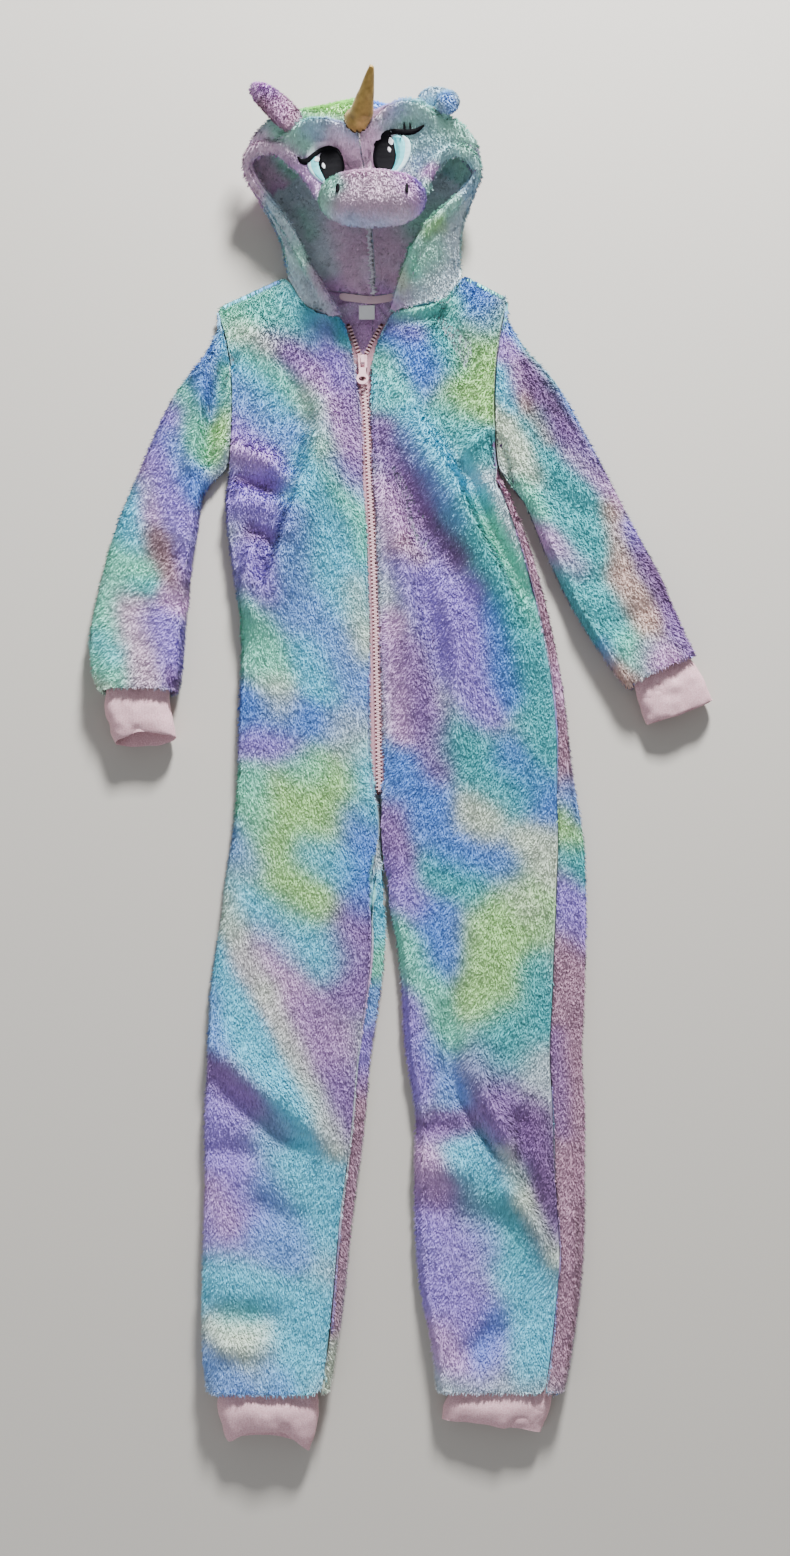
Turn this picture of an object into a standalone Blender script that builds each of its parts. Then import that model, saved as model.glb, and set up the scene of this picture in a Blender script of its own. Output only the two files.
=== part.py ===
"""Child's plush onesie with a unicorn hood, laid out flat on its back.

Right and left are the wearer's. The hood points along +Y, the wearer's left is +X,
and the garment lies on the plane z = 0. Lengths are millimetres until a mesh is made.
"""
import math

import bpy
import numpy as np
from mathutils import Vector
from mathutils.bvhtree import BVHTree

MM = 0.001                   # metres in a millimetre
FOOTPRINT_CENTRE = (23.5, -7.71)   # middle of the laid-out garment in the cutting tables below

# Cloth and trim
PLUSH = 5.0                  # wall of plush, pile included
JERSEY = 2.4                 # wall of the doubled jersey cuffs
TAPE = 1.0                   # zip tape
SEAM = 0.3                   # gap left between pieces that are sewn together
PANEL_SEAM = 0.6             # the same along the body and legs, where the cloth turns under
ARMHOLE_SEAM = 1.0           # the same where two curved edges meet
NECK_SEAM = 0.9
FLAT_ROUND = 8.5             # how far in from an edge the cloth starts to turn under

# Sewing lines on the rolled body and legs, measured from the outermost fold.
# A positive distance lies on top, a negative one underneath.
RIGHT_SIDE_SEAM = -12.0
RIGHT_INSEAM = 14.0
LEFT_INSEAM = -14.0

# Zip
ZIP_BOTTOM = -48.0
ZIP_SLIDER_Y = 358.0
ZIP_CLOTH = 4.7              # from the teeth to the plush edge
ZIP_TAPE_UNDER = 8.0         # tape hidden under the plush

COLOURS = {
    "lilac": (0.47, 0.39, 0.62), "aqua": (0.33, 0.60, 0.66), "blue": (0.32, 0.42, 0.68),
    "mint": (0.50, 0.70, 0.60), "mauve": (0.46, 0.33, 0.45), "pink": (0.72, 0.52, 0.53),
    "gold": (0.48, 0.34, 0.10), "white": (0.85, 0.85, 0.82), "black": (0.015, 0.015, 0.018),
    "teal": (0.10, 0.46, 0.50), "metal": (0.70, 0.55, 0.55),
}


class Table:
    """Rows of named columns, read between the rows along a smooth or a straight line."""

    def __init__(self, names, rows):
        order = sorted(rows)
        self.columns = dict(zip(names.split(), np.array(order, float).T))
        self.keys = self.columns[names.split()[0]]

    def straight(self, name, where):
        return np.interp(where, self.keys, self.columns[name])

    def smooth(self, name, where):
        keys, values = self.keys, self.columns[name]
        slope = np.gradient(values, keys)
        where = np.clip(where, keys[0], keys[-1])
        i = np.clip(np.searchsorted(keys, where) - 1, 0, len(keys) - 2)
        step = keys[i + 1] - keys[i]
        t = (where - keys[i]) / step
        start = (2 * t**3 - 3 * t**2 + 1) * values[i] + (t**3 - 2 * t**2 + t) * step * slope[i]
        end = (3 * t**2 - 2 * t**3) * values[i + 1] + (t**3 - t**2) * step * slope[i + 1]
        return start + end


# Outline of the body and legs: the two sides, the centre line and the gap between the legs.
BODY = Table("y right centre parting left", [
    (258, -138, -7, 0, 114), (235, -141, -6, 0, 123), (210, -142, -4, 0, 134),
    (160, -136, -2, 0, 151), (110, -127, 0, 0, 163), (60, -126, 1, 0, 173),
    (10, -128, 2.5, 0, 179), (-40, -128, 3.5, 0, 183), (-90, -132, 5, 0, 192),
    (-134, -139, 7, 0, 194), (-165, -141, 10.5, 0, 195), (-190, -145, 14, 5, 194),
    (-240, -151, 13.5, 15, 192), (-290, -151, 11, 26, 188), (-340, -153, 14, 40, 190),
    (-390, -152, 10, 44, 188), (-440, -152, 7, 52, 187), (-490, -152, 6.5, 61, 182),
    (-540, -151, 9, 80, 174), (-575, -146, 7.5, 89, 166),
])
# Height of the cloth's top over the middle of each half, and beside its folded edges.
LOFT = Table("y right right_edge left left_edge", [
    (440, 13.5, 14, 13.5, 14), (258, 13.5, 20, 13.5, 20), (200, 13.5, 21, 13.5, 21),
    (0, 13.5, 20, 13.5, 20), (-134, 13.5, 18, 13.5, 18), (-300, 15, 20, 15, 20),
    (-450, 17, 23, 16, 22), (-520, 24, 28, 21, 25), (-575, 38, 35, 31, 30),
])
# How far in from the left edge the left side seam shows on top.
SIDE_SEAM_LEFT = Table("y distance", [
    (258, 10), (190, 13), (82, 14), (-25, 17), (-80, 25), (-152, 32), (-290, 34),
    (-360, 33), (-450, 27), (-575, 25),
])
# Opening of the front edges above the slider, away from the centre line.
ZIP = Table("y right left cloth", [
    (-60, SEAM / 2, SEAM / 2, 0), (ZIP_BOTTOM, SEAM / 2, SEAM / 2, ZIP_CLOTH),
    (338, SEAM / 2, SEAM / 2, ZIP_CLOTH), (350, SEAM / 2, SEAM / 2, 6.2),
    (362, SEAM / 2, SEAM / 2, 6.2), (380, 6, 9.5, ZIP_CLOTH), (402, 13.5, 21.5, ZIP_CLOTH),
])
# Armholes, from underarm to shoulder tip.
ARMHOLE = {
    "right": Table("y x", [(258, -138), (287, -136.5), (325, -136.5), (360, -139), (388, -145),
                           (414, -155)]),
    "left": Table("y x", [(252, 116), (287, 113), (325, 112.5), (364, 115), (396, 120),
                          (424, 129)]),
}
# Neckline: the back half from the centre back to the shoulder, the front half from there
# to the front edge.
NECK_COLUMNS = "place x y z"
BACK_NECKLINE = {
    "right": Table(NECK_COLUMNS, [(0, -3, 427, 2.5), (1, -50, 434, 2.5), (2, -86, 446, 7.0)]),
    "left": Table(NECK_COLUMNS, [(0, -3, 427, 2.5), (1, 46, 436, 2.5), (2, 83, 448, 7.0)]),
}
FRONT_NECKLINE = {
    "right": Table(NECK_COLUMNS, [(2, -86, 446, 7.0), (3, -64, 410, 12.0), (4, -32.2, 403, 12.0)]),
    "left": Table(NECK_COLUMNS, [(2, 83, 448, 7.0), (3, 62, 418, 12.0), (4, 12.2, 408, 12.0)]),
}
BACK_NECK = [0, 0.35, 0.7, 1, 1.5, 2]      # where the panels' corners fall on the neckline
FRONT_NECK = [2, 2.3, 2.65, 3, 3.5, 4]
SHOULDER = {"right": (-152.5, 413.0), "left": (126.5, 423.0)}
UNDERARM = {"right": 258.0, "left": 252.0}

# Sleeves: the outer and the inner edge at each station, and the height there.
SLEEVE_COLUMNS = "station outer_x outer_y inner_x inner_y loft edge"
SLEEVE = {
    "right": Table(SLEEVE_COLUMNS, [
        (0, -155, 414, -138, 258, 14, 15), (1, -168, 390, -147, 248, 15, 18),
        (2, -181, 360, -156, 240, 15, 20), (3, -195, 325, -161, 228, 16, 21),
        (4, -211, 284, -163, 210, 17, 22), (5, -227, 242, -165, 190, 18, 22),
        (6, -243, 201, -168, 168, 19, 23), (7, -254, 160, -171, 142, 21, 24),
        (8, -262, 118, -173, 112, 24, 26), (9, -266, 84, -174, 84, 29, 30),
        (10, -262, 57, -176, 56, 36, 35), (11, -254, 38, -180, 37, 42, 38)]),
    "left": Table(SLEEVE_COLUMNS, [
        (0, 129, 424, 116, 252, 14, 15), (1, 143, 400, 125.5, 243, 15, 18),
        (2, 157, 373, 132, 232, 15, 20), (3, 172, 343, 138.5, 218, 16, 21),
        (4, 188, 310, 144.5, 202, 17, 22), (5, 205, 277, 151, 184, 18, 22),
        (6, 221, 243, 159, 164, 19, 23), (7, 236, 210, 168, 145, 20, 23),
        (8, 250, 182, 178, 122, 21, 24), (9, 266, 150, 191, 99, 23, 26),
        (10, 275, 124, 205, 77, 27, 28), (11, 285, 98, 217, 57, 32, 31),
        (12, 296, 73, 231, 41, 36, 33)]),
}

# Cuffs: the two edges at each station, the height, and how the hem bows on top and below.
CUFF_COLUMNS = "station outer_x outer_y inner_x inner_y loft edge top_bow under_bow lift"
CUFFS = {
    "wrist_cuff_right": Table(CUFF_COLUMNS, [
        (0, -247, 47, -187, 46, 25, 21, 0, 0, 5.7), (1, -247, 36, -187, 35, 27, 23, 0, 0, 5.7),
        (2, -249, 26, -186, 25, 36, 30, 2, 0, 0), (3, -245, 12, -185, 13, 38, 31, 3, 0, 0),
        (4, -239, -10, -180, -4, 34, 28, 6, -3, 0)]),
    "wrist_cuff_left": Table(CUFF_COLUMNS, [
        (0, 284, 80, 231.5, 54, 18, 16, 0, 0, 5.7), (1, 291.5, 69.5, 236.5, 42, 20, 18, 0, 0, 5.7),
        (2, 298, 60, 240, 30, 29, 25, 0, 0, 0), (3, 304, 49, 243, 21, 27, 24, 0, 0, 0),
        (4, 313, 32, 248, 9, 24, 21, -2, -1, 0)]),
    "ankle_cuff_right": Table(CUFF_COLUMNS, [
        (0, -136, -565, -47, -565, 21, 18, 0, 0, 5.7), (1, -136, -577, -46, -577, 24, 20, 0, 0, 5.7),
        (2, -137, -587, -45, -588, 35, 29, 3, 0, 0), (3, -134, -601, -48, -604, 36, 29, 8, 0, 0),
        (4, -128, -619, -54, -626, 30, 24, 17, 6, 0)]),
    "ankle_cuff_left": Table(CUFF_COLUMNS, [
        (0, 157, -565, 62, -565, 15, 13, 0, 0, 5.7), (1, 157, -577, 62, -577, 18, 16, 0, 0, 5.7),
        (2, 157, -586, 58, -584, 28, 24, 0, 0, 0), (3, 153, -598, 56, -590, 27, 23, 0, 0, 0),
        (4, 147, -611, 55, -600, 22, 20, 3, -3, 0)]),
}

# Folds and ridges on the top layer. Each is a line of (x, y, height) with the width of its
# slope on the right-hand and on the left-hand side as one walks down the list.
BODY_FOLDS = [
    (26, 10, [(26, 323, 3), (44, 286, 6), (65, 252, 10), (84, 212, 12), (106, 166, 9),
              (125, 124, 6), (134, 73, 3), (142, 13, 1)]),
    (9, 9, [(109, 286, 4), (93, 271, 6), (93, 249, 7), (105, 227, 6), (120, 197, 3)]),
    (10, 12, [(12, 227, 1), (26, 153, 3), (30, 85, 3), (34, 30, 2)]),
    (12, 12, [(55, 175, 2), (72, 103, 3), (76, 48, 3), (72, -5, 2)]),
    (12, 26, [(-56, 300, 3), (-62, 256, 7), (-70, 222, 10), (-82, 190, 12), (-94, 158, 10),
              (-112, 117, 6)]),
    (7, 7, [(-105, 172, 6), (-106, 146, 6), (-115, 120, 4)]),
    (10, 10, [(-138, 227, 5), (-109, 215, 6), (-87, 204, 5)]),
    (10, 12, [(-142, 271, 3), (-121, 267, 5), (-103, 249, 5), (-91, 227, 3)]),
    (14, 14, [(-115, 387, 1), (-74, 342, 2), (-56, 312, 2), (-42, 241, 2), (-20, 204, 1)]),
    (12, 16, [(-130, -295, 5), (-95, -309, 6), (-60, -336, 6), (-39, -363, 3)]),
    (14, 14, [(-143, -336, 2), (-112, -356, 3), (-87, -377, 2)]),
    (14, 14, [(-126, -531, 4), (-99, -535, 4)]),
    (12, 12, [(-141, -496, 3), (-110, -493, 3), (-73, -499, 2)]),
    (8, 18, [(100, -186, 2), (90, -228, 3), (81, -268, 4), (83, -309, 6), (99, -336, 8),
             (115, -360, 8), (124, -380, 6), (125, -404, 5), (138, -430, 5), (154, -456, 4),
             (157, -483, 2)]),
    (12, 12, [(30, -340, 4), (70, -343, 4)]),
    (14, 14, [(36, -380, 4), (84, -383, 4)]),
    (10, 10, [(110, -499, 3), (126, -538, 4)]),
    (12, 12, [(56, -505, 3), (76, -548, 3)]),
]
SLEEVE_FOLDS = [
    (8, 9, [(-160, 372, 3), (-166, 330, 5), (-170, 290, 5), (-172, 258, 3)]),
    (12, 10, [(-180, 178, 4), (-200, 168, 3)]),
    (12, 10, [(-182, 128, 4), (-205, 118, 3)]),
    (10, 10, [(-186, 76, 4), (-204, 96, 3)]),
    (14, 14, [(150, 240, 3), (180, 214, 3), (212, 205, 2)]),
    (12, 12, [(196, 140, 3), (222, 150, 3)]),
    (12, 12, [(262, 108, 3), (246, 128, 3)]),
]

# Hood: the centre seam, and on each side the widest line and the face opening's edge.
HOOD_SEAM = Table("row x y z lift", [
    (0, -3, 427, 2.5, 0), (1, -4, 450, 2.5, 0), (2, -6, 478, 2.5, 0), (3, -8, 508, 2.5, 0),
    (4, -11, 538, 2.5, 0), (5, -14, 566, 3, 0), (6, -16, 590, 8, 0.1), (7, -18, 605, 24, 0.3),
    (8, -19, 603, 46, 0.5), (9, -18, 588, 64, 0.6), (10, -17, 566, 71, 0.5),
    (11, -14, 542, 66, 0.5), (12, -8, 512, 63, 0.5), (13, -3, 484, 62, 0.5),
])
HOOD_COLUMNS = "row side_x side_y side_z edge_x edge_y edge_z roll"
HOOD = {
    "right": Table(HOOD_COLUMNS, [
        (0, -86, 446, 5.5, -32.2, 403, 11.5, 0), (1, -87, 460, 14, -50, 428, 26, 5),
        (2, -90, 478, 16, -63, 455, 32, 6), (3, -98, 497, 18, -78, 482, 36, 6),
        (4, -112, 519, 22, -97, 505, 40, 6), (5, -121, 536, 32, -114, 524, 44, 5),
        (6, -120, 552, 44, -117, 538, 50, 4), (7, -108, 568, 56, -103, 542, 58, 4),
        (8, -86, 578, 66, -88, 534, 62, 4), (9, -66, 568, 71, -76, 523, 63, 2),
        (10, -54, 552, 72, -67, 512, 63, 1), (11, -44, 535, 66, -60, 503, 63, 0),
        (12, -34, 510, 63, -55, 496, 62, 0), (13, -27, 485, 62, -50, 490, 62, 0)]),
    "left": Table(HOOD_COLUMNS, [
        (0, 83, 448, 5.5, 12.2, 408, 11.5, 0), (1, 81, 461, 12, 21, 434, 28, 6),
        (2, 80, 476, 16, 29, 458, 36, 6), (3, 85, 497, 20, 45, 482, 43, 6),
        (4, 91, 515, 27, 69, 500, 48, 5), (5, 96, 532, 38, 91, 518, 50, 3),
        (6, 95, 548, 50, 90, 529, 55, 3), (7, 86, 562, 62, 80, 536, 59, 3),
        (8, 70, 572, 70, 72, 536, 62, 3), (9, 52, 574, 74, 64, 530, 63, 2),
        (10, 38, 562, 74, 57, 520, 63, 1), (11, 30, 540, 68, 52, 510, 63, 0),
        (12, 22, 512, 63, 48, 500, 62, 0), (13, 20, 485, 62, 45, 491, 62, 0)]),
}
# Brow folds and crown folds of the hood, as (x, y, height) lines.
HOOD_FOLDS = [
    (9, 9, [(-82, 536, 4), (-62, 552, 6), (-40, 556, 6), (-22, 552, 3)]),
    (9, 9, [(-8, 553, 3), (8, 562, 6), (24, 578, 7), (44, 574, 5)]),
    (12, 12, [(-44, 604, 6), (-58, 596, 5)]),
]

# Pieces on the hood
MUZZLE = {"centre": (-3.0, 489.0), "half": (51.0, 24.5), "height": 29.0}
HORN = {"foot": (-17.0, 562.0), "tip": (-8.0, 580.0, 131.0), "radius": 12.0, "bend": 4.0}
EYES = {"eye_right": (-48.0, 531.0, 18.0, 13.0), "eye_left": (12.0, 538.0, 17.0, 17.0)}
NOSTRILS = {"nostril_right": (-33.5, 488.0, 2.2, 4.0), "nostril_left": (28.5, 489.0, 2.2, 4.0)}
PATCH = 1.2                  # thickness of the embroidered patches
# Ears along their spines: x, y, z, width, thickness
EARS = {
    "ear_right": ([(-74, 557, 70, 22, 8), (-84, 569, 75, 25, 12), (-95, 583, 73, 23, 13),
                   (-104, 594, 69, 20, 12), (-111, 601, 65, 15, 10), (-115, 606, 62, 7, 5)], "lilac"),
    "ear_left": ([(63, 572, 50, 17, 8), (68, 584, 52, 18, 12), (65, 596, 54, 17, 12),
                  (54, 603, 54, 15, 12), (45, 599, 52, 12, 10), (47, 593, 51, 7, 6)], "blue"),
}

SLIDER = {"length": 12.5, "width": 8.8, "base": 8.6, "height": 4.2}
BAIL = {"width": 3.0, "length": 9.0, "height": 4.8, "wire": 1.6}
PULL = {"pivot_z": 14.9, "length": 24.0, "width": 11.5, "thickness": 1.3, "bar": 1.3, "arm": 3.4,
        "eye": (2.1, 7.5)}
NECK_TAPE = {"width": 9.0, "thickness": 1.2}
LABEL = {"x": -9.0, "top": 416.5, "width": 15.0, "height": 14.0, "thickness": 0.6}


def fold_height(folds, x, y):
    """Height that the nearest stretch of each fold adds at the points (x, y)."""
    total = np.zeros(np.shape(x))
    for right_width, left_width, line in folds:
        nearest = np.full(np.shape(x), 1e9)
        rise = np.zeros(np.shape(x))
        for (x0, y0, h0), (x1, y1, h1) in zip(line, line[1:]):
            dx, dy = x1 - x0, y1 - y0
            along = np.clip(((x - x0) * dx + (y - y0) * dy) / (dx * dx + dy * dy), 0, 1)
            off_x, off_y = x - x0 - along * dx, y - y0 - along * dy
            distance = np.hypot(off_x, off_y)
            on_right = dx * off_y - dy * off_x < 0
            width = np.where(on_right, right_width, left_width)
            height = (h0 + along * (h1 - h0)) * np.exp(-(distance / width) ** 2)
            closer = distance < nearest
            nearest = np.where(closer, distance, nearest)
            rise = np.where(closer, height, rise)
        total += rise
    return total


def ease(value, low, high):
    """0 below low, 1 above high, and a smooth step between them."""
    t = np.clip((value - low) / (high - low), 0, 1)
    return t * t * (3 - 2 * t)


class Section:
    """One slice through cloth that lies doubled: over the top, round an edge and back below.

    plan(f, k) gives the slice's course seen from above, f from 0 to 1 along it and k from
    0 on the floor to 1 on top. top(w, x, y) is the height of the cloth w along the slice.
    """

    FLAT, TURN = 44, 22

    def __init__(self, plan, length, top, wall, inset, turn, floor=0.0):
        start, end = inset[0] + turn[0], length - inset[1] - turn[1]
        across = np.linspace(start, end, self.FLAT)
        over = plan(across / length, np.ones(self.FLAT))
        height = top(across, over[:, 0], over[:, 1]) - wall / 2
        slope = np.gradient(height, across)
        low = floor + wall / 2
        w, z = [across], [height]
        lean = [np.stack([-slope, np.ones(self.FLAT)], 1)]
        for centre, reach, sign, high in ((end, turn[1], 1, height[-1]),
                                          (start, turn[0], -1, height[0])):
            angle = np.linspace(math.pi / 2, -math.pi / 2, self.TURN)[::sign]
            half = (high - low) / 2
            w.append(centre + sign * reach * np.cos(angle))
            z.append(low + half + half * np.sin(angle))
            lean.append(np.stack([sign * np.cos(angle) * half, np.sin(angle) * max(reach, 1e-3)], 1))
            if sign == 1:
                w.append(across[::-1])
                z.append(np.full(self.FLAT, low))
                lean.append(np.tile([0.0, -1.0], (self.FLAT, 1)))
        w, z, lean = np.concatenate(w), np.concatenate(z), np.concatenate(lean)
        lean /= np.linalg.norm(lean, axis=1)[:, None]
        level = np.concatenate([np.ones(self.FLAT), np.linspace(1, 0, self.TURN),
                                np.zeros(self.FLAT), np.linspace(0, 1, self.TURN)])
        place = plan(w / length, level)
        course = plan(w / length + 1e-3, level) - plan(w / length - 1e-3, level)
        course /= np.linalg.norm(course, axis=1)[:, None]
        self.points = np.column_stack([place, z])
        self.normals = np.column_stack([course * lean[:, :1], lean[:, 1]])
        steps = np.linalg.norm(np.diff(np.vstack([self.points, self.points[:1]]), axis=0), axis=1)
        self.run = np.concatenate([[0], np.cumsum(steps)])
        self.top_end = self.run[self.FLAT - 1]
        self.under_start = self.run[self.FLAT + self.TURN]
        self.under_end = self.run[2 * self.FLAT + self.TURN - 1]
        self.total = self.run[-1]
        self.outer_turn = (self.under_start - self.top_end) / 2
        self.inner_turn = (self.total - self.under_end) / 2

    def read(self, where):
        """Points and normals at distances along the slice, which closes on itself."""
        where = np.mod(where, self.total)
        points = np.vstack([self.points, self.points[:1]])
        normals = np.vstack([self.normals, self.normals[:1]])
        read = [np.interp(where, self.run, values[:, k]) for values in (points, normals)
                for k in range(3)]
        normal = np.array(read[3:]).T
        return np.array(read[:3]).T, normal / np.linalg.norm(normal, axis=1)[:, None]


def shell(name, middle, normals, wall, colour, ring=False):
    """Closed wall of cloth about a grid of middle points; ring joins the last column."""
    middle, normals = np.array(middle), np.array(normals)
    rows, columns = middle.shape[:2]
    outer = middle + normals * wall / 2
    inner = middle - normals * wall / 2
    points = np.concatenate([outer.reshape(-1, 3), inner.reshape(-1, 3)])
    inside = rows * columns
    faces = []
    last = columns if ring else columns - 1
    for r in range(rows - 1):
        for c in range(last):
            a, b = r * columns + c, r * columns + (c + 1) % columns
            d, e = a + columns, b + columns
            faces += [(a, b, e, d), (a + inside, d + inside, e + inside, b + inside)]
    for c in range(last):
        a, b = c, (c + 1) % columns
        d, e = a + (rows - 1) * columns, b + (rows - 1) * columns
        faces += [(a, a + inside, b + inside, b), (d, e, e + inside, d + inside)]
    if not ring:
        for r in range(rows - 1):
            a, b = r * columns, (r + 1) * columns
            d, e = a + columns - 1, b + columns - 1
            faces += [(a, b, b + inside, a + inside), (d, d + inside, e + inside, e)]
    return solid(name, points, faces, colour)


def solid(name, points, faces, colour, metallic=0.0, roughness=0.95):
    """Object with the given faces, all turned outwards."""
    placed = np.array(points, float) - [FOOTPRINT_CENTRE[0], FOOTPRINT_CENTRE[1], 0.0]
    mesh = bpy.data.meshes.new(name)
    mesh.from_pydata([tuple(p) for p in placed * MM], [], [tuple(map(int, f)) for f in faces])
    mesh.update()
    if signed_volume(mesh) < 0:
        mesh.flip_normals()
    mesh.shade_smooth()
    material = bpy.data.materials.new(name)
    material.use_nodes = True
    surface = material.node_tree.nodes["Principled BSDF"]
    surface.inputs["Base Color"].default_value = (*COLOURS[colour], 1.0)
    surface.inputs["Metallic"].default_value = metallic
    surface.inputs["Roughness"].default_value = roughness
    mesh.materials.append(material)
    thing = bpy.data.objects.new(name, mesh)
    bpy.context.scene.collection.objects.link(thing)
    return thing


def signed_volume(mesh):
    total = 0.0
    mesh.calc_loop_triangles()
    for triangle in mesh.loop_triangles:
        a, b, c = (mesh.vertices[i].co for i in triangle.vertices)
        total += a.dot(b.cross(c)) / 6
    return total


# Body and legs

BODY_ROWS = [-575, -562, -545, -520, -494, -467, -440, -414, -390, -368, -346, -322, -296,
             -268, -238, -210, -187, -165, -145, -122, -94, -64, -34, -6, 24, 54, 84, 112,
             138, 162, 186, 208, 229]
UPPER_ROWS = [0.0, 0.14, 0.3, 0.46, 0.62, 0.78, 0.9, 1.0]   # from underarm to shoulder seam
# Columns of each panel: beside the leg's inner fold, across the flat, and round the outer fold
FRONT_COLUMNS = {"right": (1, 7, 4), "left": (4, 7, 1)}
BACK_COLUMNS = {"right": (1, 2, 4), "left": (4, 2, 1)}


def centre_line(y, layer="front"):
    sway = -7 * ease(y, 258, 395) if layer == "front" else 4 * ease(y, 258, 427)
    return BODY.smooth("centre", np.minimum(y, 258)) + sway


def armhole(side, y):
    return ARMHOLE[side].smooth("x", y)


def lower_section(side, y):
    """Slice across one half of the body, or across one leg, at the height y."""
    sign = -1 if side == "right" else 1
    parting = max(0.0, float(BODY.smooth("parting", y))) / 2
    inner = float(centre_line(y)) + sign * parting
    outer = float(BODY.smooth(side, y))
    length = abs(outer - inner)
    leg = float(ease(-y, 100, 165))
    below_arm = 1.0 - float(ease(y, UNDERARM[side] - 22, UNDERARM[side] - 2))
    loft = float(LOFT.smooth(side, y))
    edge = float(LOFT.smooth(side + "_edge", y))
    front_gap = float(ZIP.straight(side, y) + ZIP.straight("cloth", y))
    wall_inset = min(1.0, 8 * leg) * PLUSH / 2
    start = SEAM / 2 + wall_inset + leg * FLAT_ROUND
    end = length - PLUSH / 2 - FLAT_ROUND

    def plan(f, k):
        return np.column_stack([inner + sign * f * length, np.full(np.shape(f), float(y))])

    def top(w, x, y_here):
        base = loft + (edge - loft) * np.exp(-((end - w) / 20) ** 2) * below_arm
        base = base + leg * (edge - loft) * np.exp(-((w - start) / 20) ** 2)
        return base + fold_height(BODY_FOLDS, x, y_here)

    slice_ = Section(plan, length, top, PLUSH, (SEAM / 2 + wall_inset, PLUSH / 2),
                     (leg * FLAT_ROUND, FLAT_ROUND * max(below_arm, 0.2)))
    side_seam = RIGHT_SIDE_SEAM if side == "right" else float(SIDE_SEAM_LEFT.smooth("distance", y))
    inseam = RIGHT_INSEAM if side == "right" else LEFT_INSEAM
    turn, inner_turn = slice_.outer_turn, slice_.inner_turn
    begin = leg * (inseam - inner_turn) + (front_gap - SEAM / 2) * (leg == 0)
    top_seam = slice_.top_end + below_arm * (turn - side_seam)
    under_seam = slice_.under_start - below_arm * (turn + side_seam)
    finish = slice_.under_end + leg * (inner_turn + inseam)
    front = (begin, max(begin, 0) + 24, min(top_seam, slice_.top_end) - 12, top_seam)
    back = (under_seam, max(under_seam, slice_.under_start) + 12,
            min(finish, slice_.under_end) - 24, finish)
    return slice_, front, back


def spread(stops, counts):
    """Distances from the first stop to the last, with a count of steps between two stops."""
    parts = [np.linspace(a, b, n + 1)[:-1] for a, b, n in zip(stops, stops[1:], counts)]
    return np.concatenate(parts + [[stops[-1]]])


def neck_line(side, places, apart=0.0):
    """Points on the neckline moved off the hood by apart, and the direction to the hood."""
    sign = 1 if side == "right" else -1
    points, to_hood = [], []
    for place in places:
        half = BACK_NECKLINE[side] if place < 2 else FRONT_NECKLINE[side]
        read = lambda where: np.array([float(half.smooth(n, where)) for n in ("x", "y", "z")])
        ahead = sign if place < 2 else -sign
        course = read(place + 0.05) - read(place - 0.05)
        direction = np.array([ahead * course[1], -ahead * course[0], 0])
        if place == 2:
            direction = np.array([0.6 * sign, 0.8, 0])
        direction /= np.linalg.norm(direction)
        points.append(read(place) - direction * apart * (1.5 if place == 2 else 1))
        to_hood.append(direction)
    return np.array(points), np.array(to_hood)


def upper_rows(side, layer):
    """Middle points and normals of one panel between underarm and shoulder seam."""
    front = layer == "front"
    tip, base = SHOULDER[side], UNDERARM[side]
    sign = -1 if side == "right" else 1
    places = FRONT_NECK[::-1] if front else BACK_NECK
    columns = sum(FRONT_COLUMNS[side] if front else BACK_COLUMNS[side])
    along_neck = len(places) - 1
    edge = neck_line(side, places, NECK_SEAM)[0][:, :2]
    beyond = np.linspace(0, 1, columns - along_neck + 1)[1:, None]
    edge = np.vstack([edge, edge[-1] + beyond * (np.array(tip) - edge[-1])])

    def sides(y):
        gap = float(ZIP.straight(side, y) + ZIP.straight("cloth", y)) if front else SEAM / 2
        return (float(centre_line(y, layer)) + sign * gap, float(armhole(side, y)) - sign * ARMHOLE_SEAM)

    width = abs(sides(base)[1] - sides(base)[0])
    stops = (0, 24, width - 12, width)
    counts = FRONT_COLUMNS[side] if front else BACK_COLUMNS[side][::-1]
    f = spread(stops, counts) / width
    low = np.column_stack([sides(base)[0] + f * (sides(base)[1] - sides(base)[0]),
                           np.full(columns + 1, base)])
    points, normals = [], []
    for v in UPPER_ROWS:
        row = (1 - v) * low + v * edge
        if v < 1:
            row[:, 0] += (1 - f) * (sides(row[0, 1])[0] - row[0, 0])
            row[:, 0] += f * (sides(row[-1, 1])[1] - row[-1, 0])
        x, y = row.T
        if front:
            stacked = 2 * PLUSH + SEAM
            at_shoulder = ease(np.arange(columns + 1), along_neck - 1.5, along_neck + 0.5)
            at_shoulder = at_shoulder * ease(v, 0.7, 1.0)
            z = LOFT.smooth(side, y) + fold_height(BODY_FOLDS, x, y) * (1 - ease(v, 0.8, 1.0))
            z = z + (stacked - z) * at_shoulder + v * v * (1 - at_shoulder) - PLUSH / 2
        else:
            z = np.full(columns + 1, PLUSH / 2)
        row = np.column_stack([x, y, z])
        points.append(row)
        normals.append(np.tile([0, 0, 1.0 if front else -1.0], (columns + 1, 1)))
    return points, normals


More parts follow.
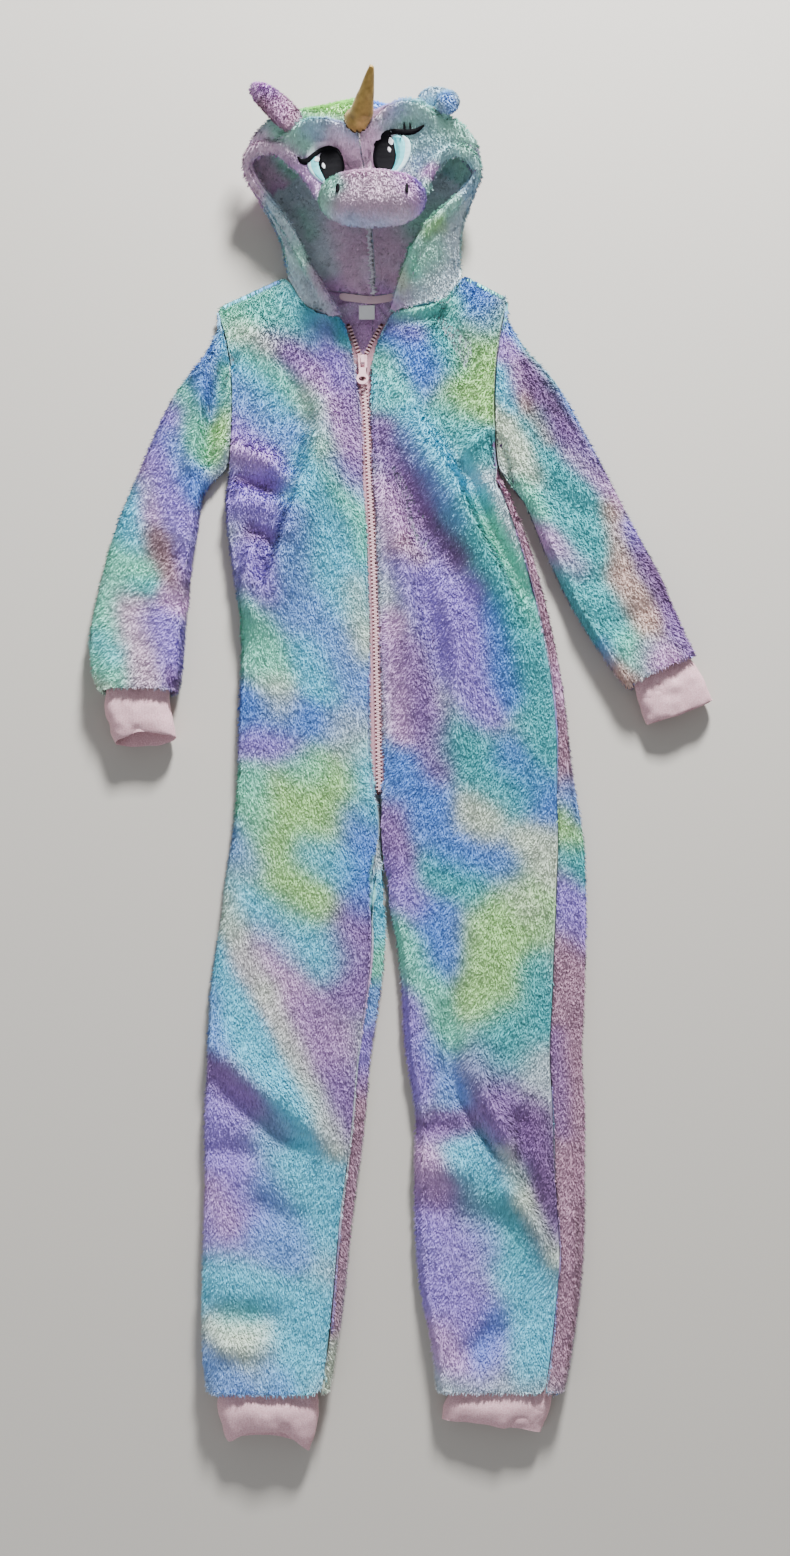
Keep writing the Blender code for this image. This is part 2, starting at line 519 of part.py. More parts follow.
def body_panels(side):
    """Front and back panel of one half of the body, each with its part of the leg."""
    counts = {"front": FRONT_COLUMNS[side], "back": BACK_COLUMNS[side]}
    grids = {"front": ([], []), "back": ([], [])}
    rows = [y for y in BODY_ROWS if y < UNDERARM[side] - 20]
    for y in rows + [UNDERARM[side] - 14, UNDERARM[side] - 7]:
        slice_, front, back = lower_section(side, y)
        for layer, stops in (("front", front), ("back", back)):
            where = spread(stops, counts[layer])
            inset = np.linspace(1, -1, len(where)) * PANEL_SEAM / 2
            points, normals = slice_.read(where + inset)
            grids[layer][0].append(points)
            grids[layer][1].append(normals)
    for layer in ("front", "back"):
        points, normals = upper_rows(side, layer)
        if layer == "back":
            points, normals = [p[::-1] for p in points], [n[::-1] for n in normals]
        grids[layer][0].extend(points)
        grids[layer][1].extend(normals)
    shell("front_" + side, *grids["front"], PLUSH, {"right": "aqua", "left": "lilac"}[side])
    shell("back_" + side, *grids["back"], PLUSH, "mauve")


# Sleeves and cuffs

def tube_section(table, station, wall, turn, folds=(), armhole_side=None):
    """Slice across a flattened tube whose edges a table gives."""
    read = {name: float(table.smooth(name, station)) for name in table.columns}
    inner = np.array([read["inner_x"], read["inner_y"]])
    outer = np.array([read["outer_x"], read["outer_y"]])
    length = float(np.linalg.norm(outer - inner))
    bows = read.get("under_bow", 0.0), read.get("top_bow", 0.0)
    across = (outer - inner) / length
    square = np.array([-across[1], across[0]])
    if square[1] < 0:
        square = -square
    floor = max(0.0, read.get("lift", 0.0))

    def plan(f, k):
        straight = inner + np.outer(f, outer - inner)
        if armhole_side:
            share = np.clip(f, 0, 1)
            y = inner[1] + share * (outer[1] - inner[1])
            bow = armhole(armhole_side, y) - inner[0] - share * (outer[0] - inner[0])
            straight[:, 0] += bow * max(0.0, 1 - station / 3)
            return straight
        bend = bows[0] + (bows[1] - bows[0]) * k
        return straight + np.outer(bend * 4 * f * (1 - f), square)

    def top(w, x, y):
        from_edges = (length - wall / 2 - turn - w, w - wall / 2 - turn)
        plump = sum(np.exp(-(distance / 20) ** 2) for distance in from_edges)
        base = read["loft"] + (read["edge"] - read["loft"]) * plump
        return floor + base + fold_height(folds, x, y)

    return Section(plan, length, top, wall, (wall / 2, wall / 2), (turn, turn), floor)


def tube(name, table, stations, columns, wall, turn, colour, folds=(), armhole_side=None):
    points, normals = [], []
    for station in stations:
        slice_ = tube_section(table, station, wall, turn, folds, armhole_side)
        where = np.linspace(0, slice_.total, columns, endpoint=False) - slice_.inner_turn
        row, lean = slice_.read(where)
        points.append(row)
        normals.append(lean)
    return shell(name, points, normals, wall, colour, ring=True)


# Hood

def hood_row(side, row):
    """Points from the centre seam, round the side of the hood, to the face opening."""
    read = {n: float(HOOD[side].smooth(n, row)) for n in HOOD[side].columns}
    seam = {n: float(HOOD_SEAM.smooth(n, row)) for n in HOOD_SEAM.columns}
    c = np.array([seam["x"], seam["y"], seam["z"]])
    s = np.array([read["side_x"], read["side_y"], read["side_z"]])
    e = np.array([read["edge_x"], read["edge_y"], read["edge_z"]])
    if row == 0:
        return neck_line(side, HOOD_PLACES)[0]
    f = c + 0.62 * (s - c)
    f[2] = c[2] + seam["lift"] * (s[2] - c[2])
    t = (s + e) / 2 + np.array([0, 0, read["roll"]])
    control = Table("place x y z", [(i, *p) for i, p in enumerate((c, f, s, t, e))])
    line = np.column_stack([control.smooth(n, HOOD_PLACES) for n in ("x", "y", "z")])
    line[:, 2] = np.maximum(line[:, 2], PLUSH / 2)
    return line


HOOD_ROWS = [0, 0.6, 1.3, 2, 3, 4, 4.7, 5.4, 6, 6.6, 7.2, 7.8, 8.4, 9, 9.6, 10.2, 10.8, 11.4,
             12, 12.5, 13]
HOOD_PLACES = BACK_NECK + FRONT_NECK[1:]


def hood_grid():
    """Middle points and outward normals of both halves, right edge to left edge."""
    grid = []
    for row in HOOD_ROWS:
        right = hood_row("right", row)[::-1]
        left = hood_row("left", row)
        grid.append(np.vstack([right, left[1:]]))
    grid = np.array(grid)
    across, along = np.gradient(grid, axis=1), np.gradient(grid, axis=0)
    normals = np.cross(along, across)
    normals /= np.linalg.norm(normals, axis=2)[:, :, None]
    to_hood = np.vstack([neck_line("right", HOOD_PLACES[::-1])[1],
                         neck_line("left", HOOD_PLACES[1:])[1]])
    turn, seam = HOOD_PLACES.index(2), len(HOOD_PLACES) - 1
    across[0, seam - turn], across[0, seam + turn] = (0, 0, -1), (0, 0, 1)
    level = np.cross(to_hood, across[0])
    normals[0] = level / np.linalg.norm(level, axis=1)[:, None]
    on_floor = (1 - ease(grid[:, :, 2], PLUSH / 2, PLUSH / 2 + 1))[:, :, None]
    normals = normals * (1 - on_floor) + np.array([0, 0, -1.0]) * on_floor
    normals /= np.linalg.norm(normals, axis=2)[:, :, None]
    on_top = ease(normals[:, :, 2], 0.3, 0.8) * (grid[:, :, 2] > 40)
    grid = grid + normals * (fold_height(HOOD_FOLDS, grid[:, :, 0], grid[:, :, 1]) * on_top)[:, :, None]
    lowest = grid[:, :, 2] + normals[:, :, 2] * PLUSH / 2
    grid[:, :, 2] += np.maximum(0, -lowest)
    return grid, normals


def hood():
    grid, normals = hood_grid()
    middle = len(HOOD_PLACES) - 1
    apart = np.zeros_like(grid[:, :middle + 1])
    apart[:, middle, 0] = SEAM / 2
    seam_normal = normals[:, middle].copy()
    seam_normal[:, 0] = 0
    normals[:, middle] = seam_normal / np.linalg.norm(seam_normal, axis=1)[:, None]
    right = shell("hood_right", grid[:, :middle + 1] - apart, normals[:, :middle + 1], PLUSH, "mint")
    left = shell("hood_left", grid[:, middle:] + apart[:, ::-1], normals[:, middle:], PLUSH, "mint")
    return right, left


def surface_tree(things):
    """Search tree over the faces of some objects, in metres."""
    points, faces = [], []
    for thing in things:
        start = len(points)
        points += [v.co.copy() for v in thing.data.vertices]
        faces += [tuple(start + i for i in f.vertices) for f in thing.data.polygons]
    return BVHTree.FromPolygons(points, faces)


def lie_on(tree, x, y, reach=0.0, least=0.0):
    """Height of a surface seen from above at (x, y), or of its highest point within reach."""
    heights = [least]
    for dx, dy in ((0, 0), (reach, 0), (-reach, 0), (0, reach), (0, -reach)):
        start = Vector((x + dx - FOOTPRINT_CENTRE[0], y + dy - FOOTPRINT_CENTRE[1], 300)) * MM
        hit = tree.ray_cast(start, Vector((0, 0, -1)))[0]
        if hit is not None:
            heights.append(hit.z / MM)
    return max(heights)


def closed_tube(name, rings, colour, metallic=0.0, roughness=0.95):
    """Body skinned over closed rings of points, with a fan over each end."""
    count = len(rings[0])
    points = np.concatenate(rings + [[np.mean(rings[0], axis=0)], [np.mean(rings[-1], axis=0)]])
    first, last = len(points) - 2, len(points) - 1
    faces = []
    for r in range(len(rings) - 1):
        for c in range(count):
            a, b = r * count + c, r * count + (c + 1) % count
            faces.append((a, b, b + count, a + count))
    top = (len(rings) - 1) * count
    for c in range(count):
        faces += [(first, (c + 1) % count, c), (last, top + c, top + (c + 1) % count)]
    return solid(name, points, faces, colour, metallic, roughness)


# Face

def oval(centre, half, angle, power=2.0):
    c, s = np.cos(angle), np.sin(angle)
    stretch = (np.abs(c) ** power + np.abs(s) ** power) ** (-1 / power)
    return centre[0] + half[0] * stretch * c, centre[1] + half[1] * stretch * s


def patch(name, tree, centre, half, lift, thickness, colour):
    """Flat embroidered patch made from the surface that it lies on, moved out."""
    angles = np.linspace(0, 2 * math.pi, 16, endpoint=False)
    rings = []
    for share, rise in ((0.4, 0), (0.8, 0), (1.0, 0), (1.0, thickness), (0.8, thickness), (0.4, thickness)):
        x, y = oval(centre, (half[0] * share, half[1] * share), angles)
        z = [lie_on(tree, a, b, 2.5) + lift + rise for a, b in zip(x, y)]
        rings.append(np.column_stack([x, y, z]))
    return closed_tube(name, rings, colour, 0.0, 0.5)


def muzzle(tree):
    """Stuffed oval sewn on over the hood's brim, its far side hanging over the edge."""
    centre, half, height = MUZZLE["centre"], MUZZLE["half"], MUZZLE["height"]
    angles = np.linspace(0, 2 * math.pi, 22, endpoint=False)
    brim = 492.0
    rings = []
    levels = ((0.45, 0), (0.85, 0), (0.97, 0.12), (1.0, 0.34), (0.94, 0.62), (0.76, 0.86), (0.4, 0.985))
    for share, rise in levels:
        x, y = oval(centre, (half[0] * share, half[1] * share), angles, 2.4)
        seat = np.array([lie_on(tree, a, max(b, brim), 5, 64.5) for a, b in zip(x, y)]) + 2 * SEAM
        z = seat + rise * height - 5 * ease(brim - 10 - y, 0, 14) * (1 - rise)
        rings.append(np.column_stack([x, y, z]))
    return closed_tube("muzzle", rings, "pink")


def horn(tree):
    """Stuffed cone of gold cloth, a little bent."""
    foot, tip, radius = HORN["foot"], np.array(HORN["tip"]), HORN["radius"]
    angles = np.linspace(0, 2 * math.pi, 12, endpoint=False)
    circle = np.column_stack([foot[0] + radius * np.cos(angles), foot[1] + radius * np.sin(angles)])
    base = np.column_stack([circle, [lie_on(tree, *p, 3) + SEAM for p in circle]])
    root = np.array([*foot, base[:, 2].max() + 4])
    axis = (tip - root) / np.linalg.norm(tip - root)
    side = np.cross([0, 1.0, 0], axis)
    side /= np.linalg.norm(side)
    back = np.cross(axis, side)
    rings = [base]
    for share in (0.0, 0.22, 0.45, 0.66, 0.84, 0.96):
        spread_out = radius * (1 - share) ** 0.8 + 1.2
        centre = root + (tip - root) * share + side * HORN["bend"] * math.sin(math.pi * share)
        rings.append(centre + spread_out * (np.outer(np.cos(angles), side)
                                            + np.outer(np.sin(angles), back)))
    return closed_tube("horn", rings, "gold", 0.3, 0.5)


def ear(name, spine, colour, tree):
    """Flattened plush tube along a spine of (x, y, z, width, thickness), clear of the hood."""
    spine = np.array(spine, float)
    for point in spine:
        x, y, z, width, thickness = point
        point[2] = max(z, lie_on(tree, x, y, 0.55 * width) + thickness / 2 - 1.4)
    angles = np.linspace(0, 2 * math.pi, 10, endpoint=False)
    rings = []
    for i, (x, y, z, width, thickness) in enumerate(spine):
        course = spine[min(i + 1, len(spine) - 1), :3] - spine[max(i - 1, 0), :3]
        side = np.cross([0, 0, 1.0], course)
        side /= np.linalg.norm(side)
        up = np.cross(course, side)
        up /= np.linalg.norm(up)
        rings.append(np.array([x, y, z]) + np.outer(np.cos(angles) * width / 2, side)
                     + np.outer(np.sin(angles) * thickness / 2, up))
    return closed_tube(name, rings, colour)


# Zip, neck tape and label

def zip_tape(side):
    """Woven tape sewn under the plush edge, from below the zip's end up to the neck."""
    sign = -1 if side == "right" else 1
    points, normals = [], []
    for y in (ZIP_BOTTOM - 8, -20, 20, 60, 100, 140, 180, 220, 260, 300, 335, 350, 365, 380, 398):
        gap, cloth = float(ZIP.straight(side, y)), float(ZIP.straight("cloth", y))
        edges = np.array([0, max(cloth - 0.5, 2.0), max(cloth, 4.0) + ZIP_TAPE_UNDER])
        x = float(centre_line(y)) + sign * (gap + edges)
        z = LOFT.smooth(side, y) + fold_height(BODY_FOLDS, x, np.full(3, float(y))) * ease(y, -60, -20)
        z = z - PLUSH - 2 * SEAM - TAPE / 2
        points.append(np.column_stack([x, np.full(3, float(y)), z]))
        normals.append(np.tile([0, 0, 1.0], (3, 1)))
    return shell("zip_tape_" + side, points, normals, TAPE, "pink")


def prism(name, outline, low, high, colour="metal"):
    """Upright prism over an outline seen from above."""
    outline = np.array(outline, float)
    count = len(outline)
    points = np.concatenate([np.column_stack([outline, np.full(count, z)]) for z in (low, high)])
    faces = [tuple(range(count))[::-1], tuple(range(count, 2 * count))]
    faces += [(c, (c + 1) % count, (c + 1) % count + count, c + count) for c in range(count)]
    return solid(name, points, faces, colour, 0.6, 0.4)


def combine(thing, other, operation):
    """Join or cut with another object, which stays as a guide."""
    other.hide_render = True
    other.display_type = "WIRE"
    step = thing.modifiers.new(other.name, "BOOLEAN")
    step.operation = operation
    step.object = other


def zip_slider():
    """Slider body with the bail that its pull hangs on, as one profile with an eye."""
    x0 = float(centre_line(ZIP_SLIDER_Y))
    base, top = SLIDER["base"], SLIDER["base"] + SLIDER["height"]
    half, half_width = SLIDER["length"] / 2, SLIDER["width"] / 2
    bail, wire, rise = BAIL["length"] / 2, BAIL["wire"], BAIL["height"]
    body = [(-half, base), (-half, top), (half, top), (half, base)]
    plate = [(x, ZIP_SLIDER_Y + y, z) for x in (x0 - half_width, x0 + half_width) for y, z in body]
    faces = [(0, 1, 2, 3), (4, 7, 6, 5), (0, 4, 5, 1), (1, 5, 6, 2), (2, 6, 7, 3), (3, 7, 4, 0)]
    slider = solid("zip_slider", plate, faces, "metal", 0.6, 0.4)
    crest = top + rise
    arch = [(-bail, top - 1), (-bail, crest - 1.5), (-bail + 1.5, crest), (bail - 1.5, crest),
            (bail, crest - 1.5), (bail, top - 1), (bail - wire, top - 1),
            (bail - wire, crest - wire), (-bail + wire, crest - wire), (-bail + wire, top - 1)]
    near, far = x0 - BAIL["width"] / 2, x0 + BAIL["width"] / 2
    points = np.array([(x, ZIP_SLIDER_Y + y, z) for x in (near, far) for y, z in arch])
    count = len(arch)
    faces = [tuple(range(count)), tuple(range(2 * count - 1, count - 1, -1))]
    faces += [(c, c + count, (c + 1) % count + count, (c + 1) % count) for c in range(count)]
    bridge = solid("bail", points, faces, "metal")
    combine(slider, bridge, "UNION")


def zip_pull():
    """Flat pull, a bar through the bail, two arms and a ring, which turns about its bar."""
    x0, y0, z = float(centre_line(ZIP_SLIDER_Y)), ZIP_SLIDER_Y, PULL["pivot_z"]
    half, thickness, bar, arm = PULL["width"] / 2, PULL["thickness"], PULL["bar"] / 2, PULL["arm"]
    ring_y = y0 - PULL["length"] + half
    low, high = z - thickness / 2, z + thickness / 2
    round_ring = np.radians(np.linspace(55, -235, 15))
    outline = [(x0 - arm, y0 + bar), (x0 + arm, y0 + bar), (x0 + arm, y0 - 9)]
    outline += [(x0 + half * math.cos(a), ring_y + half * math.sin(a)) for a in round_ring]
    outline += [(x0 - arm, y0 - 9)]
    pull = prism("zip_pull", outline, low, high)
    eye_x, eye_y = PULL["eye"]
    eye = [(x0 - eye_x, y0 - eye_y), (x0 + eye_x, y0 - eye_y),
           (x0 + eye_x, y0 - bar), (x0 - eye_x, y0 - bar)]
    combine(pull, prism("bail_eye", eye, low - 1, high + 1), "DIFFERENCE")
    turn = np.radians(np.arange(0, 360, 24))
    hole = [(x0 + 3.6 * math.cos(a), ring_y - 0.3 + 2.4 * math.sin(a)) for a in turn]
    combine(pull, prism("finger_hole", hole, low - 1, high + 1), "DIFFERENCE")
    pivot = Vector((x0 - FOOTPRINT_CENTRE[0], y0 - FOOTPRINT_CENTRE[1], z)) * MM
    for vertex in pull.data.vertices:
        vertex.co -= pivot
    pull.location = pivot


def neck_tape():
    """Strip that covers the back neck seam inside."""
    points, normals = [], []
    for x in np.linspace(-36, 34, 9):
        half = BACK_NECKLINE["right" if x < -3 else "left"]
        place = np.linspace(0, 1, 21)
        seam_y = np.interp(abs(x + 3), np.abs(half.smooth("x", place) + 3), half.smooth("y", place))
        lift = PLUSH + SEAM + NECK_TAPE["thickness"] / 2
        edge = seam_y - NECK_SEAM
        points.append([(x, edge - 0.5, lift), (x, edge - NECK_TAPE["width"], lift)])
        normals.append([(0, 0, 1.0)] * 2)
    shell("neck_tape", points, normals, NECK_TAPE["thickness"], "pink")


def label():
    """Blank label sewn under the neck tape."""
    low = PLUSH + SEAM
    x, y, width, height = LABEL["x"], LABEL["top"], LABEL["width"], LABEL["height"]
    outline = [(x - width / 2, y - height), (x + width / 2, y - height),
               (x + width / 2, y), (x - width / 2, y)]
    return prism("label", outline, low, low + LABEL["thickness"], "white")


def main():
    for old in list(bpy.data.objects):
        bpy.data.objects.remove(old)
    for side in ("right", "left"):
        body_panels(side)
        last = int(SLEEVE[side].keys[-1])
        stations = [0, 0.5, 1, 2, 3, 4, 5, 6, 7, 8, 9, 10, last - 0.5, last]
        tube("sleeve_" + side, SLEEVE[side], sorted(set(stations)), 18, PLUSH, FLAT_ROUND, "blue",
             SLEEVE_FOLDS, side)
    for name, table in CUFFS.items():
        tube(name, table, [0, 1, 1.6, 2.3, 3.1, 4], 16, JERSEY, 9.0, "pink")
    on_hood = surface_tree(hood())
    on_muzzle = surface_tree([muzzle(on_hood)])
    horn(on_hood)
    for name, (x, y, half_x, half_y) in EYES.items():
        patch(name, on_hood, (x, y), (half_x, half_y), 2 * SEAM, PATCH, "teal")
    for name, (x, y, half_x, half_y) in NOSTRILS.items():
        patch(name, on_muzzle, (x, y), (half_x, half_y), 0.1, PATCH, "black")
    for name, (spine, colour) in EARS.items():
        ear(name, spine, colour, on_hood)
    for side in ("right", "left"):
        zip_tape(side)
    zip_slider()
    zip_pull()
    neck_tape()
    label()


main()
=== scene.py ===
"""Child's plush unicorn onesie, laid out flat on its back: the dressed model.

World metres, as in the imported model: the hood points along +Y, the wearer's left is +X.
"""
import math

import bmesh
import bpy
import numpy as np
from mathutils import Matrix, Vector
from mathutils.bvhtree import BVHTree


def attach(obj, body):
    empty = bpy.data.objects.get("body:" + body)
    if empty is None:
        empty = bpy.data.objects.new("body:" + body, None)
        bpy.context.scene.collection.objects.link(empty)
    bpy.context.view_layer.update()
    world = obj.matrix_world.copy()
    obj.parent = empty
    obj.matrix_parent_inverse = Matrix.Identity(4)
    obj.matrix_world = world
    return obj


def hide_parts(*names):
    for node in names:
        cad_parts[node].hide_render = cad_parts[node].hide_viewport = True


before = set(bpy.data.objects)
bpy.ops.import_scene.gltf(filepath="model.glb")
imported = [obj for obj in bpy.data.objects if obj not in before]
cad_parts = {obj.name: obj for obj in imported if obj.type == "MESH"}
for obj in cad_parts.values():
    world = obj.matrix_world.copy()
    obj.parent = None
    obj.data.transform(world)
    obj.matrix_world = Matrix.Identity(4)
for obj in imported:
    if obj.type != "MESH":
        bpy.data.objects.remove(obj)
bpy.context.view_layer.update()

# Eyes --------------------------------------------------------------------------------
# Machine embroidery in rayon thread, satin-stitched through a backing patch onto the flat
# hood panels before these are sewn: a black pupil, a crescent iris, sparks and a lash line.

MM = 0.001
# Every shape is a line of stitches across a spine: thread, height, and x, y, width in mm
STITCHES = {
    "eye_right": [
        ("pale", 0.9, [(-82.5, 537.5, 3), (-83.5, 532, 6), (-80, 526, 7), (-74, 520.5, 6),
                       (-70, 517, 3)]),
        ("cyan", 1.1, [(-78, 538.5, 5), (-79.5, 534, 10), (-78.5, 529, 10), (-75, 523.5, 8),
                       (-71, 518, 4)]),
        ("black", 1.3, [(-67, 547.6, 2), (-66, 545, 15), (-65, 540, 21), (-64.5, 534, 23.5),
                        (-64, 527, 23), (-63.5, 521, 19), (-63, 516.5, 10)]),
        ("white", 1.7, [(-79.5, 534.5, 1.5), (-77.5, 536, 4.6), (-75.3, 537, 1.5)]),
        ("white", 1.7, [(-72.2, 533.2, 1), (-71.6, 530.6, 3.2), (-70.8, 528.2, 1)]),
        ("black", 1.6, [(-95.5, 538.5, 0.6), (-92, 534.6, 3.4), (-86.5, 534.8, 4.4),
                        (-80.5, 539.6, 3.6), (-73, 545, 3), (-65, 547.2, 3), (-58.5, 544, 2.2),
                        (-54, 536.5, 0.8)]),
    ],
    "eye_left": [
        ("pale", 0.9, [(1.5, 557.5, 2), (5.2, 552, 6), (5.4, 545, 7.5), (2.4, 535.5, 6.5),
                       (-3.5, 528, 5), (-9, 523.6, 2)]),
        ("cyan", 1.1, [(-7, 556.5, 3), (-2.6, 552.5, 10.5), (-1.6, 545, 12.5), (-2.4, 537, 11),
                       (-6, 529.5, 8), (-11, 523.8, 3)]),
        ("teal", 1.2, [(-5.5, 555.5, 2), (-3, 550, 5.4), (-2.4, 542, 5.8), (-4.2, 534, 4.6),
                       (-7, 529, 1.5)]),
        ("black", 1.4, [(-14.2, 559.6, 5), (-14.4, 555.4, 13.6), (-15, 548, 18.8),
                        (-15.2, 540, 21.6), (-15, 533, 19.5), (-14.8, 527.5, 13),
                        (-14.6, 523.8, 3)]),
        ("white", 1.7, [(-10.2, 555.6, 1.5), (-9.2, 552.6, 4.8), (-8.6, 549.8, 1.5)]),
        ("white", 1.7, [(-11.6, 547.8, 1), (-10.8, 545.6, 3.2), (-10.2, 543.4, 1)]),
        ("black", 1.6, [(-25, 549, 0.8), (-21.6, 553.4, 3.6), (-16.5, 557.4, 4.2), (-8, 560.4, 3.8),
                        (0, 561, 3.4), (8, 560.6, 3.8), (15, 562.2, 3), (21.5, 566, 0.6)]),
        ("black", 1.6, [(2.7, 568.6, 0.8), (3.1, 565, 2), (4, 561.6, 2.2)]),
        ("black", 1.6, [(8.1, 568.2, 0.8), (8.6, 565, 1.8), (9.2, 561.8, 2.2)]),
    ],
}
THREADS = {"black": "#0d0c10", "cyan": "#5fd0d6", "teal": "#2f9fa6", "pale": "#c9eef0",
           "white": "#f7f9fb"}
SATIN_PITCH = 1.1            # mm between drawn threads, nearly four times the real 0.3 mm
STITCH_DOME = 0.35           # mm that the middle of a row of stitches stands over its edges
NARROWEST = 0.3              # mm, the least width of a row of stitches
WAVE_SCALE = 314             # scale of a wave texture with its bands 1 mm apart


def linear(code):
    """Linear red, green, blue and alpha of an sRGB hex colour."""
    parts = [int(code[i:i + 2], 16) / 255 for i in (1, 3, 5)]
    return [p / 12.92 if p <= 0.04045 else ((p + 0.055) / 1.055) ** 2.4 for p in parts] + [1.0]


def add(tree, kind, settings=(), links=()):
    """Adds a node, sets its sockets or properties and links (node, output) to its sockets."""
    made = tree.nodes.new("ShaderNode" + kind)
    for name, value in dict(settings).items():
        if name in made.inputs:
            made.inputs[name].default_value = value
        else:
            setattr(made, name, value)
    for socket, (source, output) in dict(links).items():
        tree.links.new(source.outputs[output], made.inputs[socket])
    return made


def finish_named(name, settings):
    """New material with its Principled node and tree."""
    material = bpy.data.materials.new(name)
    material.use_nodes = True
    tree = material.node_tree
    surface = tree.nodes["Principled BSDF"]
    for socket, value in settings.items():
        surface.inputs[socket].default_value = value
    return material, tree, surface


# Rayon thread: smooth and slightly glossy, so each row of stitches catches its own light.
thread_finishes = {}
for thread, code in THREADS.items():
    thread_finishes[thread], tree, surface = finish_named("Rayon_embroidery_" + thread, {
        "Base Color": linear(code), "Roughness": 0.6 if thread == "black" else 0.45, "IOR": 1.5,
        "Specular IOR Level": 0.06 if thread == "black" else 0.5})
    place = add(tree, "TexCoord")
    rows = add(tree, "TexWave", {"bands_direction": "Y", "Scale": WAVE_SCALE / SATIN_PITCH,
                                 "Distortion": 1.5}, {"Vector": (place, "Object")})
    ridges = add(tree, "Bump", {"Strength": 0.6, "Distance": 0.0002}, {"Height": (rows, "Fac")})
    tree.links.new(ridges.outputs["Normal"], surface.inputs["Normal"])


def through(points, count):
    """Smooth curve through given points, as count + 1 rows."""
    points = np.array(points, float)
    ends = np.vstack([2 * points[0] - points[1], points, 2 * points[-1] - points[-2]])
    t = np.linspace(0, len(points) - 1 - 1e-6, count + 1)
    i = t.astype(int)
    f = (t - i)[:, None]
    a, b, c, d = (ends[i + k] for k in range(4))
    return b + f / 2 * (c - a + f * (2 * a - 5 * b + 4 * c - d + f * (3 * (b - c) + d - a)))


def solids_tree(nodes):
    """The named solids as one surface to look or feel for."""
    points, faces = [], []
    for node in nodes:
        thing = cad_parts[node]
        start = len(points)
        points += [v.co.copy() for v in thing.data.vertices]
        faces += [[start + i for i in p.vertices] for p in thing.data.polygons]
    return BVHTree.FromPolygons(points, faces)


def top_of(tree, x, y):
    """Height of the topmost surface at a place, in metres."""
    hit = tree.ray_cast(Vector((x, y, 0.3)), Vector((0, 0, -1)))[0]
    return hit.z if hit else 0.0


def meshed(name, points, faces):
    """New mesh of points and faces, shaded smooth."""
    mesh = bpy.data.meshes.new(name)
    mesh.from_pydata(points, [], faces)
    mesh.shade_smooth()
    return mesh


def show(name, mesh, materials, body="garment"):
    """Puts a mesh into the scene as a piece that moves with a body of the garment."""
    mesh.name = name
    mesh.materials.clear()
    for material in materials:
        mesh.materials.append(material)
    piece = bpy.data.objects.new(name, mesh)
    bpy.context.scene.collection.objects.link(piece)
    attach(piece, body)
    return piece


def band(spine, over, lift, steps=22, across=6, drop=2.6):
    """A raised band along a spine of (x, y, width) mm, laid on a surface, with its faces."""
    course = through(spine, steps)
    course[:, 2] = np.maximum(course[:, 2], NARROWEST)
    run = np.gradient(course[:, :2], axis=0)
    run /= np.linalg.norm(run, axis=1)[:, None]
    points, faces = [], []
    for (x, y, width), (dx, dy) in zip(course, run):
        for k in range(across + 3):
            share = np.clip((k - 1) / across * 2 - 1, -1, 1)
            px, py = x - dy * width / 2 * share, y + dx * width / 2 * share
            dome = lift + STITCH_DOME * (1 - share * share)
            dome -= drop if k in (0, across + 2) else 0
            points.append((px * MM, py * MM, top_of(over, px * MM, py * MM) + dome * MM))
    row = across + 3
    for i in range(steps):
        faces += [(i * row + k + 1, i * row + k, (i + 1) * row + k, (i + 1) * row + k + 1)
                  for k in range(row - 1)]
    return points, faces


HOOD_TOP = solids_tree(["hood_right", "hood_left"])
for node, shapes in STITCHES.items():
    points, faces, finishes = [], [], []
    for thread, lift, spine in shapes:
        new_points, new_faces = band(spine, HOOD_TOP, lift)
        faces += [[len(points) + i for i in face] for face in new_faces]
        finishes += [list(THREADS).index(thread)] * len(new_faces)
        points += new_points
    mesh = meshed(node, points, faces)
    eye = show("embroidered_" + node, mesh, list(thread_finishes.values()))
    mesh.polygons.foreach_set("material_index", finishes)
    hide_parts(node)

# Dyed plush --------------------------------------------------------------------------
# Polyester plush, knitted with a pile of about 4 mm and dyed in soft diagonal streaks. The
# whole suit and its hood are cut from it; the panels are overlocked together inside out.

DYES = {
    "mint": "#94f5d8", "aqua": "#73e0fc", "sky": "#87b7fb", "blue": "#639cf6",
    "teal": "#5bccd3", "lilac": "#b194f2", "mauve": "#aa80c9", "plum": "#8e63a0",
    "pink": "#eabaef", "rose": "#c898b2", "blush": "#f1d0e8", "peach": "#efc9bb",
    "brown": "#b08891", "cream": "#ecfae2", "lime": "#bef59b", "fog": "#b1d4ec",
    "frost": "#bbf1de", "mist": "#dfebf2",
}
CLOTH = "#dcecf4"            # the undyed cloth between the streaks
BLEED = 1.2                  # how far the dyes run into one another, in streak widths
